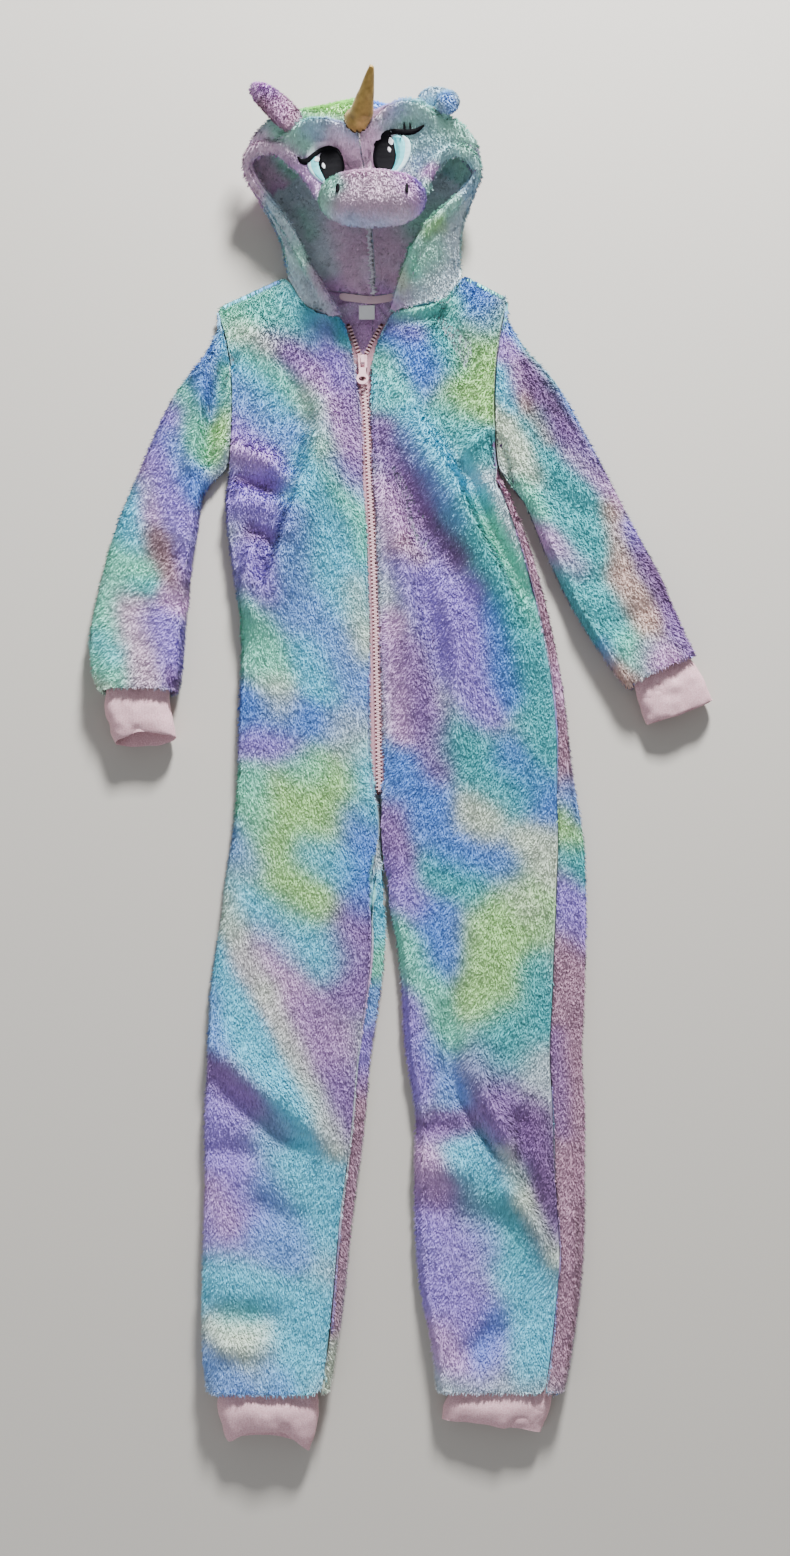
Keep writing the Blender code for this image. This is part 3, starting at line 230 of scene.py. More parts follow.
# Streaks of dye: colour, the streak's two ends and its half width, in millimetres
STREAKS = {
    "front_right": [
        ("mint", -178, 418, -116, 418, 17), ("aqua", -110, 426, -80, 399, 12),
        ("teal", -64, 414, -55, 388, 6), ("blue", -58, 412, -52, 396, 3),
        ("teal", -138, 422, -112, 403, 9), ("cream", -152, 403, -128, 384, 10),
        ("mauve", -124, 392, -84, 350, 12), ("lilac", -76, 396, -62, 346, 10),
        ("pink", -80, 346, -54, 286, 12), ("mauve", -54, 331, -44, 249, 9),
        ("mint", -146, 373, -84, 320, 9), ("cream", -90, 331, -72, 275, 8),
        ("aqua", -154, 365, -112, 320, 12), ("sky", -160, 339, -104, 294, 13),
        ("lilac", -156, 297, -112, 249, 13), ("pink", -158, 282, -130, 267, 8),
        ("lilac", -158, 234, -110, 205, 14), ("lilac", -136, 175, -124, 139, 12),
        # Painted shade: these two plum streaks lie in the waist's hollows and darken them beyond the
        # dye
        ("plum", -150, 248, -124, 242, 6), ("plum", -140, 196, -122, 192, 6),
        ("aqua", -82, 294, -94, 234, 12), ("mint", -72, 279, -54, 227, 9),
        ("mint", -46, 234, -32, 183, 10), ("lilac", -62, 264, -40, 234, 8),
        ("aqua", -78, 227, -46, 139, 21), ("sky", -100, 205, -102, 124, 12),
        ("sky", -82, 124, -38, 56, 14), ("cream", -42, 146, -38, 88, 10),
        ("mint", -134, 110, -120, 70, 14), ("aqua", -88, 88, -74, 52, 12),
        ("cream", -118, 52, -112, 34, 11), ("blue", -140, 31, -56, 17, 14),
        ("lilac", -136, 2, -102, -8, 10), ("cream", -54, 17, -46, -1, 12),
        ("aqua", -38, -8, -32, -58, 10), ("lime", -112, -82, -70, -43, 23),
        ("mint", -92, -21, -84, -26, 12), ("mint", -140, -40, -132, -75, 12),
        ("sky", -154, -85, -132, -110, 11), ("blue", -42, -68, -34, -117, 12),
        ("aqua", -86, -99, -52, -113, 12), ("lime", -116, -111, -86, -139, 17),
        ("aqua", -138, -146, -70, -192, 15), ("blue", -44, -115, -36, -143, 11),
        ("mauve", -42, -157, -46, -223, 15), ("cream", -158, -146, -120, -223, 9),
        ("cream", -120, -223, -56, -362, 8), ("aqua", -168, -188, -144, -260, 10),
        ("aqua", -144, -260, -90, -328, 12), ("sky", -172, -219, -164, -271, 8),
        ("pink", -124, -188, -74, -274, 16), ("mauve", -84, -247, -50, -345, 14),
        # The first mauve streak here runs down the right knee's fold valley: partly dye, partly
        # painted shade
        ("mauve", -170, -288, -108, -349, 10), ("lilac", -162, -335, -148, -415, 22),
        ("pink", -168, -395, -152, -425, 9), ("aqua", -104, -349, -66, -415, 20),
        ("sky", -124, -399, -100, -432, 12), ("sky", -128, -435, -96, -452, 10),
        ("aqua", -158, -475, -92, -491, 15), ("teal", -146, -504, -130, -504, 8),
        ("cream", -146, -520, -126, -530, 13), ("sky", -162, -540, -136, -556, 10),
        ("aqua", -98, -537, -72, -507, 16), ("sky", -116, -543, -106, -553, 9),
    ],
    "front_left": [
        ("mint", 0, 422, 44, 426, 12), ("lilac", -8, 407, 14, 399, 9), ("blue", -2, 388, 26, 358, 16),
        ("teal", 36, 418, 50, 365, 13), ("blue", 66, 434, 78, 403, 12), ("lime", 76, 392, 62, 331, 17),
        ("lime", 80, 350, 86, 320, 10), ("mint", -16, 373, -4, 331, 10),
        ("aqua", -14, 346, 26, 286, 11), ("teal", 44, 312, 76, 282, 12), ("aqua", 26, 282, 68, 223, 9),
        ("mint", 68, 223, 124, 113, 8), ("mauve", -14, 294, 18, 234, 12),
        # The plum streak that follows the chest fold's valley is partly dye and partly painted shade
        ("plum", 4, 249, 50, 175, 10), ("sky", 4, 286, 54, 205, 8), ("teal", 54, 212, 110, 110, 11),
        ("pink", -10, 241, 4, 190, 10), ("peach", 6, 186, 18, 175, 8), ("lilac", 18, 175, 52, 81, 15),
        ("mauve", 0, 88, 32, -22, 12), ("pink", -8, 110, 4, 9, 8), ("lilac", 60, 139, 74, 31, 12),
        ("blue", 84, 124, 98, 49, 12), ("teal", 114, 117, 132, -8, 13), ("teal", 56, -5, 108, -43, 17),
        ("blue", 0, -26, 30, -68, 15), ("blue", 98, -12, 132, -58, 12),
        ("cream", 64, -68, 74, -73, 12), ("mauve", -10, -68, -2, -113, 11),
        ("blue", 44, -99, 94, -117, 14), ("cream", 118, -89, 132, -113, 11),
        ("lilac", -4, -115, 12, -150, 11), ("blue", 28, -160, 34, -198, 13),
        ("teal", 30, -118, 62, -129, 13), ("lime", 104, -143, 82, -223, 20),
        ("cream", 104, -136, 112, -153, 10), ("cream", 126, -115, 136, -125, 9),
        ("mint", 0, -167, 20, -209, 10), ("mint", 26, -219, 42, -267, 10),
        ("lilac", 6, -243, 16, -305, 12), ("sky", 26, -274, 48, -315, 10),
        ("teal", 100, -254, 76, -284, 15), ("teal", 118, -205, 130, -254, 10),
        ("mauve", 68, -291, 102, -362, 14), ("plum", 112, -342, 128, -435, 13),
        ("cream", 92, -365, 108, -409, 6), ("cream", 108, -409, 132, -452, 6),
        # This mauve streak lies in the left knee's fold valley: partly dye, partly painted shade
        ("mauve", 16, -345, 54, -345, 9), ("pink", 12, -369, 30, -395, 10),
        ("mauve", 22, -399, 54, -415, 14), ("aqua", 64, -369, 88, -389, 13),
        ("teal", 70, -415, 104, -442, 15), ("lilac", 22, -425, 74, -439, 13),
        ("lilac", 30, -475, 60, -514, 20), ("pink", 32, -514, 46, -533, 10),
        ("aqua", 102, -455, 120, -527, 15), ("blue", 68, -527, 78, -511, 10),
    ],
    "back_left": [
        ("rose", 94, 251, 124, 133, 10), ("rose", 134, 118, 154, -25, 15),
        ("pink", 138, 61, 152, 39, 9), ("sky", 154, -43, 160, -64, 10),
        ("lime", 146, -74, 160, -92, 8), ("teal", 160, -102, 170, -123, 10),
        ("lilac", 150, -146, 164, -177, 12), ("rose", 150, -198, 154, -383, 15),
        ("rose", 150, -383, 144, -541, 15), ("mauve", 138, -267, 144, -349, 7),
    ],
    "back_right": [
        ("aqua", -16, -128, -22, -177, 7), ("mint", -20, -181, -26, -212, 6),
        ("sky", -28, -223, -36, -254, 6), ("lilac", -36, -261, -40, -302, 8),
        ("rose", -40, -305, -50, -403, 9), ("rose", -50, -403, -66, -515, 8),
        ("cream", -66, -532, -58, -558, 8), ("lilac", -162, 258, -154, 162, 10),
    ],
    "sleeve_right": [
        ("sky", -180, 410, -188, 361, 13), ("aqua", -162, 404, -158, 373, 8),
        ("blue", -192, 352, -180, 322, 9), ("mint", -164, 361, -170, 322, 5),
        ("lime", -172, 316, -180, 275, 6), ("mint", -204, 340, -188, 275, 9),
        ("lilac", -214, 316, -232, 263, 9), ("sky", -218, 292, -206, 263, 8),
        ("lilac", -222, 257, -202, 210, 12), ("blue", -200, 251, -190, 233, 8),
        ("pink", -242, 257, -232, 216, 8), ("aqua", -248, 239, -252, 192, 11),
        ("mint", -266, 175, -248, 157, 13), ("brown", -230, 195, -206, 157, 9),
        ("lilac", -202, 180, -198, 157, 7), ("teal", -246, 146, -234, 146, 6),
        ("mint", -278, 122, -266, 62, 13), ("aqua", -276, 94, -264, 77, 8),
        ("pink", -212, 134, -202, 128, 8), ("blush", -248, 120, -236, 65, 12),
        ("lilac", -226, 111, -208, 74, 12), ("plum", -210, 62, -202, 54, 5),
        ("cream", -280, 54, -268, 48, 5),
    ],
    "sleeve_left": [
        ("sky", 100, 417, 114, 391, 9), ("mint", 120, 388, 130, 376, 7),
        ("teal", 132, 376, 146, 347, 7), ("lilac", 92, 385, 100, 371, 7),
        ("pink", 98, 379, 112, 333, 6), ("plum", 114, 359, 150, 293, 11),
        ("mauve", 150, 293, 188, 253, 10), ("sky", 154, 336, 188, 270, 5),
        ("aqua", 94, 353, 104, 321, 7), ("cream", 90, 310, 120, 253, 9),
        ("peach", 116, 327, 138, 287, 5), ("pink", 154, 273, 204, 225, 6),
        ("teal", 126, 304, 144, 259, 9), ("teal", 148, 247, 174, 185, 19),
        ("mint", 114, 242, 128, 216, 7), ("pink", 120, 205, 166, 163, 7),
        ("peach", 194, 219, 204, 163, 7), ("lilac", 210, 199, 230, 185, 8),
        ("plum", 228, 180, 246, 135, 11), ("teal", 168, 158, 192, 102, 14),
        ("peach", 200, 152, 224, 108, 9), ("mauve", 246, 116, 266, 83, 9),
        ("mint", 202, 97, 218, 86, 9), ("pink", 224, 86, 244, 72, 8), ("peach", 190, 77, 204, 53, 7),
        ("sky", 186, 94, 190, 75, 5),
    ],
    "hood_right": [
        ("lime", -86, 603, -58, 595, 12), ("lime", -60, 615, -54, 607, 7),
        ("lime", -80, 590, -60, 588, 9), ("frost", -102, 578, -80, 572, 9),
        ("fog", -74, 566, -46, 562, 7), ("frost", -108, 562, -92, 552, 7),
        ("blush", -136, 555, -108, 544, 8), ("pink", -114, 539, -82, 519, 7),
        ("blush", -144, 539, -140, 519, 6), ("fog", -124, 506, -108, 486, 7),
        ("frost", -118, 500, -92, 460, 6), ("frost", -112, 470, -90, 431, 9),
        ("blush", -82, 458, -68, 416, 6), ("blush", -60, 552, -40, 530, 10),
        ("blush", -50, 530, -34, 515, 9), ("fog", -86, 560, -74, 556, 5),
        ("mint", -130, 470, -110, 440, 8),
    ],
    "hood_left": [
        ("sky", -24, 600, -16, 595, 9), ("fog", -4, 595, 18, 590, 10),
        ("blush", -26, 578, -10, 588, 5), ("blush", -38, 552, -28, 530, 9),
        ("frost", 18, 575, 38, 552, 11), ("fog", 22, 560, 42, 545, 8), ("frost", 40, 560, 62, 540, 10),
        ("fog", 18, 539, 42, 550, 5), ("pink", 26, 529, 34, 526, 4), ("fog", 64, 537, 64, 519, 6),
        ("frost", 46, 507, 26, 496, 6), ("frost", 24, 496, 4, 460, 8), ("lime", 22, 484, 36, 490, 4),
        ("frost", 26, 463, 38, 442, 9), ("cream", -4, 450, 2, 436, 5), ("mint", 6, 470, 14, 450, 4),
        ("mint", -8, 426, 8, 415, 7), ("aqua", 26, 423, 42, 415, 7),
    ],
    "inside": [
        ("mist", -89, 532, -70, 487, 8), ("blush", -66, 505, -49, 460, 9),
        ("blush", -27, 492, 0, 492, 12), ("pink", -64, 445, -44, 432, 8),
        ("blush", -18, 464, 0, 452, 6), ("blush", -46, 450, -34, 442, 6),
        ("pink", -20, 430, -35, 400, 12), ("mist", 30, 530, 60, 545, 10),
        ("frost", 12, 500, 30, 520, 9), ("pink", -40, 395, -25, 350, 14),
        ("mist", -80, 480, -66, 462, 8), ("mist", -132, 535, -104, 508, 12),
        ("mist", -112, 505, -98, 490, 8), ("frost", -96, 520, -88, 500, 5),
    ],
    "muzzle": [
        ("frost", -76, 512, -68, 491, 9), ("mint", -66, 512, -60, 498, 5),
        ("blush", -50, 512, -14, 502, 11), ("blush", -58, 486, -40, 480, 8),
        ("blush", -26, 486, -4, 483, 9), ("pink", 2, 508, 12, 496, 8), ("lilac", 18, 510, 22, 490, 4),
        ("fog", -58, 470, 2, 469, 5),
    ],
    "ear_right": [
        ("pink", -134, 604, -128, 606, 7), ("mauve", -126, 603, -120, 594, 5),
        ("rose", -124, 588, -104, 570, 9), ("pink", -116, 586, -108, 574, 6),
    ],
    "ear_left": [
        ("fog", 18, 593, 34, 594, 8), ("sky", 40, 587, 44, 578, 5), ("fog", 22, 581, 32, 573, 7),
    ],
}
# Folds in mm: the slope's width on the right and on the left hand as one walks along the
# line, and the line's places as x, y and height
FOLDS = [
    # chest and waist
    (24, 8, [(2, 331, 1.9), (21, 294, 5.8), (42, 260, 9.8), (61, 220, 11.7), (83, 174, 11.7),
             (102, 132, 7.8), (111, 81, 3.9)]),
    (6, 8, [(58, 266, -7.8), (68, 240, -17.6), (80, 208, -21.4), (98, 172, -15.6), (113, 138, -7.8)]),
    (7, 6, [(60, 272, 4.2), (67, 284, 7), (84, 296, 5.6), (88, 280, 2.8)]),
    (6, 6, [(90, 288, -7), (95, 268, -11.2), (101, 250, -7)]),
    (14, 16, [(-12, 292, -2.5), (-1, 256, -7), (18, 207, -9.8), (38, 171, -7.8), (54, 136, -3.9)]),
    (10, 12, [(-10, 234, 1.9), (4, 161, 5.8), (10, 93, 5.8), (14, 38, 3.9)]),
    (10, 12, [(32, 183, 3.9), (50, 111, 7.8), (54, 56, 5.8), (50, 3, 3.9)]),
    (8, 8, [(20, 150, -3.9), (32, 90, -5.8), (34, 40, -3.9)]),
    (8, 24, [(-80, 308, 3.9), (-86, 266, 7.8), (-94, 232, 11.7), (-106, 200, 13.7), (-118, 168, 11.7),
             (-136, 126, 5.8)]),
    (10, 9, [(-165, 280, 3.9), (-146, 275, 7.8), (-122, 265, 9.8), (-106, 248, 7.8)]),
    (5, 7, [(-160, 251, -2), (-145, 248, -6.5), (-131, 244, -9), (-118, 236, -5)]),
    (9, 9, [(-164, 224, 2.8), (-140, 225, 5.6), (-122, 222, 4.2)]),
    (5, 6, [(-147, 200, -2), (-135, 198, -8.5), (-121, 192, -8)]),
    (7, 6, [(-138, 176, 5.6), (-145, 150, 7), (-147, 128, 2.8)]),
    (5, 6, [(-120, 186, -9.8), (-127, 160, -8.4), (-137, 136, -4.2)]),
    (14, 14, [(-138, 394, 3.9), (-98, 350, 5.8), (-78, 318, 5.8), (-66, 250, 3.9), (-44, 212, 1.9)]),
    (9, 9, [(-112, 366, -3.9), (-92, 330, -5.8), (-84, 300, -3.9)]),
    (12, 12, [(40, 404, -5.8), (58, 384, -5.8), (64, 356, -3.9)]),
    # legs
    (9, 15, [(-170, -272, 5.8), (-142, -296, 9.8), (-102, -326, 9.8), (-60, -360, 3.9)]),
    (13, 8, [(-164, -308, -4.4), (-134, -328, -7.8), (-106, -346, -6.6), (-84, -362, -2.4)]),
    (10, 10, [(-164, -364, -3.9), (-140, -366, -5.8)]),
    (12, 12, [(-124, -412, -5.8), (-94, -424, -3.9)]),
    (10, 12, [(-156, -502, -7.8), (-114, -505, -7.8)]),
    (10, 10, [(-150, -526, 7.8), (-112, -528, 3.9)]),
    (9, 9, [(52, -222, -3.9), (45, -258, -7.8), (43, -292, -7.8)]),
    (4, 5, [(43, -296, -7.4), (52, -320, -14.2), (66, -341, -15.4), (88, -368, -7.8)]),
    (12, 9, [(68, -296, 7.8), (82, -326, 13.7), (97, -360, 13.7), (98, -382, 5.8)]),
    (12, 12, [(10, -341, -4.8), (34, -345, -6.2), (58, -350, -4)]),
    (12, 12, [(12, -372, 5.8), (50, -380, 5.8)]),
    (12, 7, [(94, -398, 7.8), (111, -411, 9.8), (124, -434, 7.8), (134, -462, 3.9)]),
    (16, 14, [(26, -412, -4.4), (60, -420, -6), (87, -428, -3.4)]),
    (8, 8, [(106, -338, -5.8), (106, -368, -7.8), (116, -400, -7.8), (130, -432, -3.9)]),
    (12, 12, [(60, -532, -5.8), (84, -518, -7.8), (96, -506, -3.9)]),
    # hood
    (8, 7, [(-116, 548, 2.8), (-102, 559, 8.4), (-86, 565, 12.6), (-70, 567, 14), (-56, 563, 11.2),
            (-46, 557, 5.6)]),
    (7, 8, [(-34, 556, 5.6), (-25, 566, 12.6), (-13, 577, 14), (0, 583, 12.6), (14, 582, 9.8),
            (30, 574, 4.2)]),
    (9, 10, [(-58, 548, -2.8), (-48, 543, -5.6), (-38, 542, -4.2)]),
    (6, 6, [(-40, 560, -2.8), (-36, 568, -5.6), (-32, 576, -4.2)]),
    (5, 5, [(-104, 588, -4.2), (-88, 576, -7), (-72, 575, -7), (-57, 574, -5.6)]),
    (7, 7, [(-27, 592, -5.6), (-14, 594, -7), (2, 598, -4.2)]),
    (6, 6, [(-120, 500, -4.2), (-108, 484, -5.6), (-96, 470, -5.6), (-85, 460, -5.6),
            (-84, 444, -4.2)]),
    # neck
    (4, 4, [(-10, 412, 2.8), (8, 415, 4.2), (26, 418, 4.9), (42, 423, 4.2), (52, 428, 1.4)]),
    (4, 4, [(-8, 404, -1.4), (12, 407, -2.8), (32, 411, -2.8), (50, 420, -1.4)]),
    (5, 5, [(-62, 412, 2.8), (-58, 404, 5.6), (-54, 396, 5.6), (-50, 388, 2.8)]),
    (3, 3, [(-70, 408, -1.4), (-64, 398, -2.8), (-58, 386, -2.8)]),
    (4, 4, [(-98, 420, 1.4), (-86, 414, 4.2), (-74, 411, 4.2)]),
    # sleeves
    (5, 5, [(-158, 370, -5.4), (-169, 357, -10.8), (-174, 333, -10.8), (-179, 307, -10.8),
            (-182, 266, -7.2)]),
    (6, 6, [(-190, 362, 5.4), (-188, 330, 7.2), (-192, 296, 7.2), (-196, 262, 3.6)]),
    (10, 12, [(-206, 176, -5.4), (-232, 168, -3.6)]),
    (10, 10, [(-204, 130, -5.4), (-226, 120, -3.6)]),
    (12, 12, [(128, 246, -5.4), (152, 226, -5.4), (184, 212, -3.6)]),
    (10, 10, [(170, 148, -5.4), (196, 156, -3.6)]),
    (9, 9, [(204, 108, -5.4), (226, 124, -5.4), (240, 130, -1.8)]),
]
# Lines where stitching holds the pile down: half width, strength, then its places in mm
SEWN_LINES = [
    (1.5, 0.9, [(-23, 345), (-18, 275), (-12, 186), (-9, 92), (-8, 8), (-12, -36)]),
    (1.1, 0.45, [(-41, 330), (-36, 234), (-31, 129), (-29, 36), (-29, -36)]),
    (1.3, 0.8, [(-134, 549), (-119, 547), (-105, 540), (-92, 531), (-84, 522)]),
    (1.3, 0.8, [(-131, 518), (-115, 503), (-99, 483), (-88, 466), (-80, 449), (-73, 430)]),
    (1.3, 0.8, [(49, 509), (33, 496), (20, 483), (13, 470), (6, 454), (0, 434)]),
    (1.4, 0.8, [(-64, 414), (-59, 401), (-52, 387)]),
    (1.4, 0.9, [(-47, 420), (-43, 402), (-42, 388)]),
]
ZIP_LINE = [(-23, -42), (-23, 100), (-32, 300), (-34.6, 342), (-36, 362)]
ZIP_FLAT = (5, 18)           # mm from the zip where hollows begin and are whole
FOLDS_FROM = (6, 15)         # mm over the floor where folds begin and are whole
# Ovals round the eyes that their backing keeps flat: x, y and half sizes in mm
EYE_OVALS = [(-68, 533, 30, 22), (-7, 545, 32, 28)]


def eased(value, low, high):
    """Goes smoothly from 0 to 1 while the value goes from low to high."""
    t = np.clip((value - low) / (high - low), 0, 1)
    return t * t * (3 - 2 * t)


def along_line(x, y, line):
    """Distance to a line, the hand it is on (1 right, -1 left) and the third column there."""
    best = np.full(len(x), 1e9)
    hand = np.zeros(len(x))
    value = np.zeros(len(x))
    for first, second in zip(line, line[1:]):
        dx, dy = second[0] - first[0], second[1] - first[1]
        t = np.clip(((x - first[0]) * dx + (y - first[1]) * dy) / (dx * dx + dy * dy), 0, 1)
        off_x, off_y = x - first[0] - t * dx, y - first[1] - t * dy
        away = np.hypot(off_x, off_y)
        closer = away < best
        best = np.where(closer, away, best)
        turn = (dy * off_x - dx * off_y) / np.maximum(away * math.hypot(dx, dy), 1e-9)
        hand = np.where(closer, turn, hand)
        if len(first) > 2:
            value = np.where(closer, first[2] + t * (second[2] - first[2]), value)
    return best, hand, value


def fold_rise(points):
    """Height that the folds add to the upper cloth; what lies on the floor stays."""
    x, y = points[:, 0] / MM, points[:, 1] / MM
    total = np.zeros(len(points))
    for right_width, left_width, line in FOLDS:
        away, hand, height = along_line(x, y, line)
        width = (right_width * (1 + hand) + left_width * (1 - hand)) / 2
        total += height * np.exp(-(away / width) ** 2)
    total *= np.where(total < 0, eased(along_line(x, y, ZIP_LINE)[0], *ZIP_FLAT), 1)
    flat = points * [1, 1, 0]
    lumps = 1.3 * drift(flat * [1, 0.8, 1], 0.027, 51) + 0.5 * drift(flat, 0.011, 52)
    for eye_x, eye_y, reach_x, reach_y in EYE_OVALS:
        lumps *= eased(np.hypot((x - eye_x) / reach_x, (y - eye_y) / reach_y), 0.8, 1.2)
    return (total + lumps) * MM * eased(points[:, 2] / MM, *FOLDS_FROM)


def held_down(points):
    """How far stitching flattens the pile, from 0 to 1."""
    x, y = points[:, 0] / MM, points[:, 1] / MM
    held = np.zeros(len(points))
    for half, strength, line in SEWN_LINES:
        held = np.maximum(held, strength * np.exp(-(along_line(x, y, line)[0] / half) ** 2))
    return held


def drift(points, size, seed):
    """Smooth noise from -1 to 1 at the points, with lumps of the given size."""
    places = points / size + 31.7 * seed
    cell = np.floor(places).astype(np.int64)
    t = places - cell
    t = t * t * (3 - 2 * t)
    total = np.zeros(len(points))
    for corner in range(8):
        step = np.array([corner & 1, corner >> 1 & 1, corner >> 2])
        key = (cell + step) @ np.array([73856093, 19349663, 83492791]) + 7919 * seed
        key = (key ^ (key >> 13)) * 1274126177 & 0x7FFFFFFF
        value = (key ^ (key >> 15)) % 65536 / 32768.0 - 1
        total += value * np.prod(np.where(step == 1, t, 1 - t), axis=1)
    return total


# The side on the floor was dyed in the same way; its streaks fall by chance.
UNDER_STREAKS, UNDER_DYES = 120, 9       # streaks there, and the first dyes that they use
chance = np.random.default_rng(7)
STREAKS["under"] = []
for _ in range(UNDER_STREAKS):
    x, y = chance.uniform(-290, 270), chance.uniform(-570, 610)
    run, half = chance.uniform(40, 120), chance.uniform(11, 20)
    name = str(chance.choice(list(DYES)[:UNDER_DYES]))
    STREAKS["under"].append((name, x, y, x + 0.45 * run, y - run, half))


def unit(vectors):
    """Rows of vectors, each made one unit long."""
    return vectors / np.maximum(np.linalg.norm(vectors, axis=1), 1e-9)[:, None]


UNDYED = 0.045               # weight of the undyed cloth's colour among the dyes
HOOD_MIDDLE = np.array([-0.028, 0.49, 0.06])     # the middle of the hood's hollow
HOOD_OVAL = (-0.03, 0.46, 0.115, 0.12)   # x and y of the hood's inside, and half its sizes
LINING = 0.014               # cloth below this shows its inside; in the crown, below twice this


def streaked(panel, points):
    """Colour of one panel's streaks, which run into one another."""
    flat = points.copy()
    flat[:, 2] = 0
    x = points[:, 0] / MM + 4 * drift(flat, 0.05, 1) + 2 * drift(flat, 0.016, 2)
    y = points[:, 1] / MM + 4 * drift(flat, 0.05, 3) + 2 * drift(flat, 0.016, 4)
    weight = np.full(len(points), UNDYED)
    total = weight[:, None] * np.array(linear(CLOTH)[:3])
    for name, x0, y0, x1, y1, half in STREAKS[panel]:
        dx, dy = x1 - x0, y1 - y0
        along = np.clip(((x - x0) * dx + (y - y0) * dy) / max(dx * dx + dy * dy, 1), 0, 1)
        away = np.hypot(x - x0 - along * dx, y - y0 - along * dy) / (half * BLEED)
        pull = np.exp(-away * away) + 0.005 / (0.3 + away) ** 3
        total += pull[:, None] * np.array(linear(DYES[name])[:3])
        weight += pull
    return total / weight[:, None]


def dyed(panel, points, normals):
    """Colour of the cloth at points of a panel, with the inside and the floor side as they are."""
    colour = streaked(panel, points)
    down = eased(-normals[:, 2], 0.0, 0.6)
    if down.any():
        colour += (streaked("under", points) - colour) * down[:, None]
    level = LINING + LINING * eased(points[:, 1], 0.46, 0.50)
    inward = np.sum(normals * unit(HOOD_MIDDLE - points), axis=1)
    inner = np.maximum(eased(normals[:, 2], 0.1, 0.5), eased(inward, 0.1, 0.4))
    inner *= eased(level + 0.016 - points[:, 2], 0, 0.016)
    if panel[:4] == "hood":
        roof = eased(-normals[:, 2], 0, 0.3) * eased(points[:, 2], 0.010, 0.020)
        inner = np.maximum(inner, roof)
    middle_x, middle_y, half_x, half_y = HOOD_OVAL
    inner *= np.hypot((points[:, 0] - middle_x) / half_x, (points[:, 1] - middle_y) / half_y) < 1
    if panel[:4] in ("hood", "back") and inner.any():
        colour += (streaked("inside", points) - colour) * inner[:, None]
    return colour * (1 + 0.05 * drift(points, 0.004, 5))[:, None]


CREASE = 0.9                 # sharpness of a kept edge, and its least angle in radians
FLOOR_GAP = 0.0001           # lowest height of any cloth, in metres


def finer(node, levels, kept_below=-1.0):
    """Smooth copy of a solid, rounded all over but for the edges below a y in metres."""
    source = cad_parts[node]
    form = bmesh.new()
    form.from_mesh(source.data)
    bmesh.ops.remove_doubles(form, verts=form.verts, dist=1e-5)
    bmesh.ops.join_triangles(form, faces=form.faces, angle_face_threshold=0.8,
                             angle_shape_threshold=1.2)
    crease = form.edges.layers.float.new("crease_edge")
    for edge in form.edges:
        low = max(corner.co.y for corner in edge.verts) < kept_below
        edge[crease] = CREASE if low and edge.calc_face_angle(0.0) > CREASE else 0.0
    mesh = bpy.data.meshes.new(node + "_rough")
    form.to_mesh(mesh)
    form.free()
    rough = bpy.data.objects.new(node + "_rough", mesh)
    bpy.context.scene.collection.objects.link(rough)
    rough.modifiers.new("round", "SUBSURF").levels = levels
    shown = rough.evaluated_get(bpy.context.evaluated_depsgraph_get())
    smooth = bpy.data.meshes.new_from_object(shown)
    bpy.data.objects.remove(rough)
    return smooth


def numbers(mesh, what="co"):
    """Places or normals of the mesh's points, one row each."""
    values = np.empty(len(mesh.vertices) * 3)
    mesh.vertices.foreach_get(what, values)
    return values.reshape(-1, 3)


def triangles_of(mesh):
    """Corner numbers of the mesh's triangles, its points and normals, and the corners' places."""
    mesh.calc_loop_triangles()
    corners = np.empty(len(mesh.loop_triangles) * 3, np.int32)
    mesh.loop_triangles.foreach_get("vertices", corners)
    corners = corners.reshape(-1, 3)
    points, normals = numbers(mesh), numbers(mesh, "normal")
    return corners, points, normals, [points[corners[:, k]] for k in range(3)]


def moved(mesh, points):
    """Writes points back, none of them under the floor."""
    points[:, 2] = np.maximum(points[:, 2], FLOOR_GAP)
    mesh.vertices.foreach_set("co", points.ravel())
    mesh.update()


def evened(mesh, share, rounds=14):
    """Evens out the height of a mesh where share is 1, leaving its outline where it is."""
    ends = np.empty(len(mesh.edges) * 2, np.int32)
    mesh.edges.foreach_get("vertices", ends)
    ends = ends.reshape(-1, 2)
    both = np.concatenate([ends, ends[:, ::-1]])
    count = np.bincount(both[:, 0], minlength=len(mesh.vertices))
    points = numbers(mesh)
    for _ in range(rounds):
        around = np.bincount(both[:, 0], points[both[:, 1], 2], len(mesh.vertices)) / count
        points[:, 2] += share * 0.6 * (around - points[:, 2])
    return points


SOLIDS = solids_tree(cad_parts)
REACH = 0.045                # how far a look must reach to count as open
LOOK_FROM = 0.0016           # where a look starts, over the surface
LOOKS = [(0, 0, 1)] + [(0.7 * math.cos(a), 0.7 * math.sin(a), 0.71)
                       for a in np.arange(6) * math.pi / 3]


def openness(points, normals):
    """Share of the looks from each point that meet no other cloth nearby."""
    shares = np.empty(len(points))
    for i, (point, normal) in enumerate(zip(points, normals)):
        normal = Vector(normal)
        side = normal.orthogonal().normalized()
        other = normal.cross(side)
        start = Vector(point) + normal * LOOK_FROM
        clear = sum(SOLIDS.ray_cast(start, side * u + other * v + normal * w, REACH)[0] is None
                    for u, v, w in LOOKS)
        shares[i] = clear / len(LOOKS)
    return shares


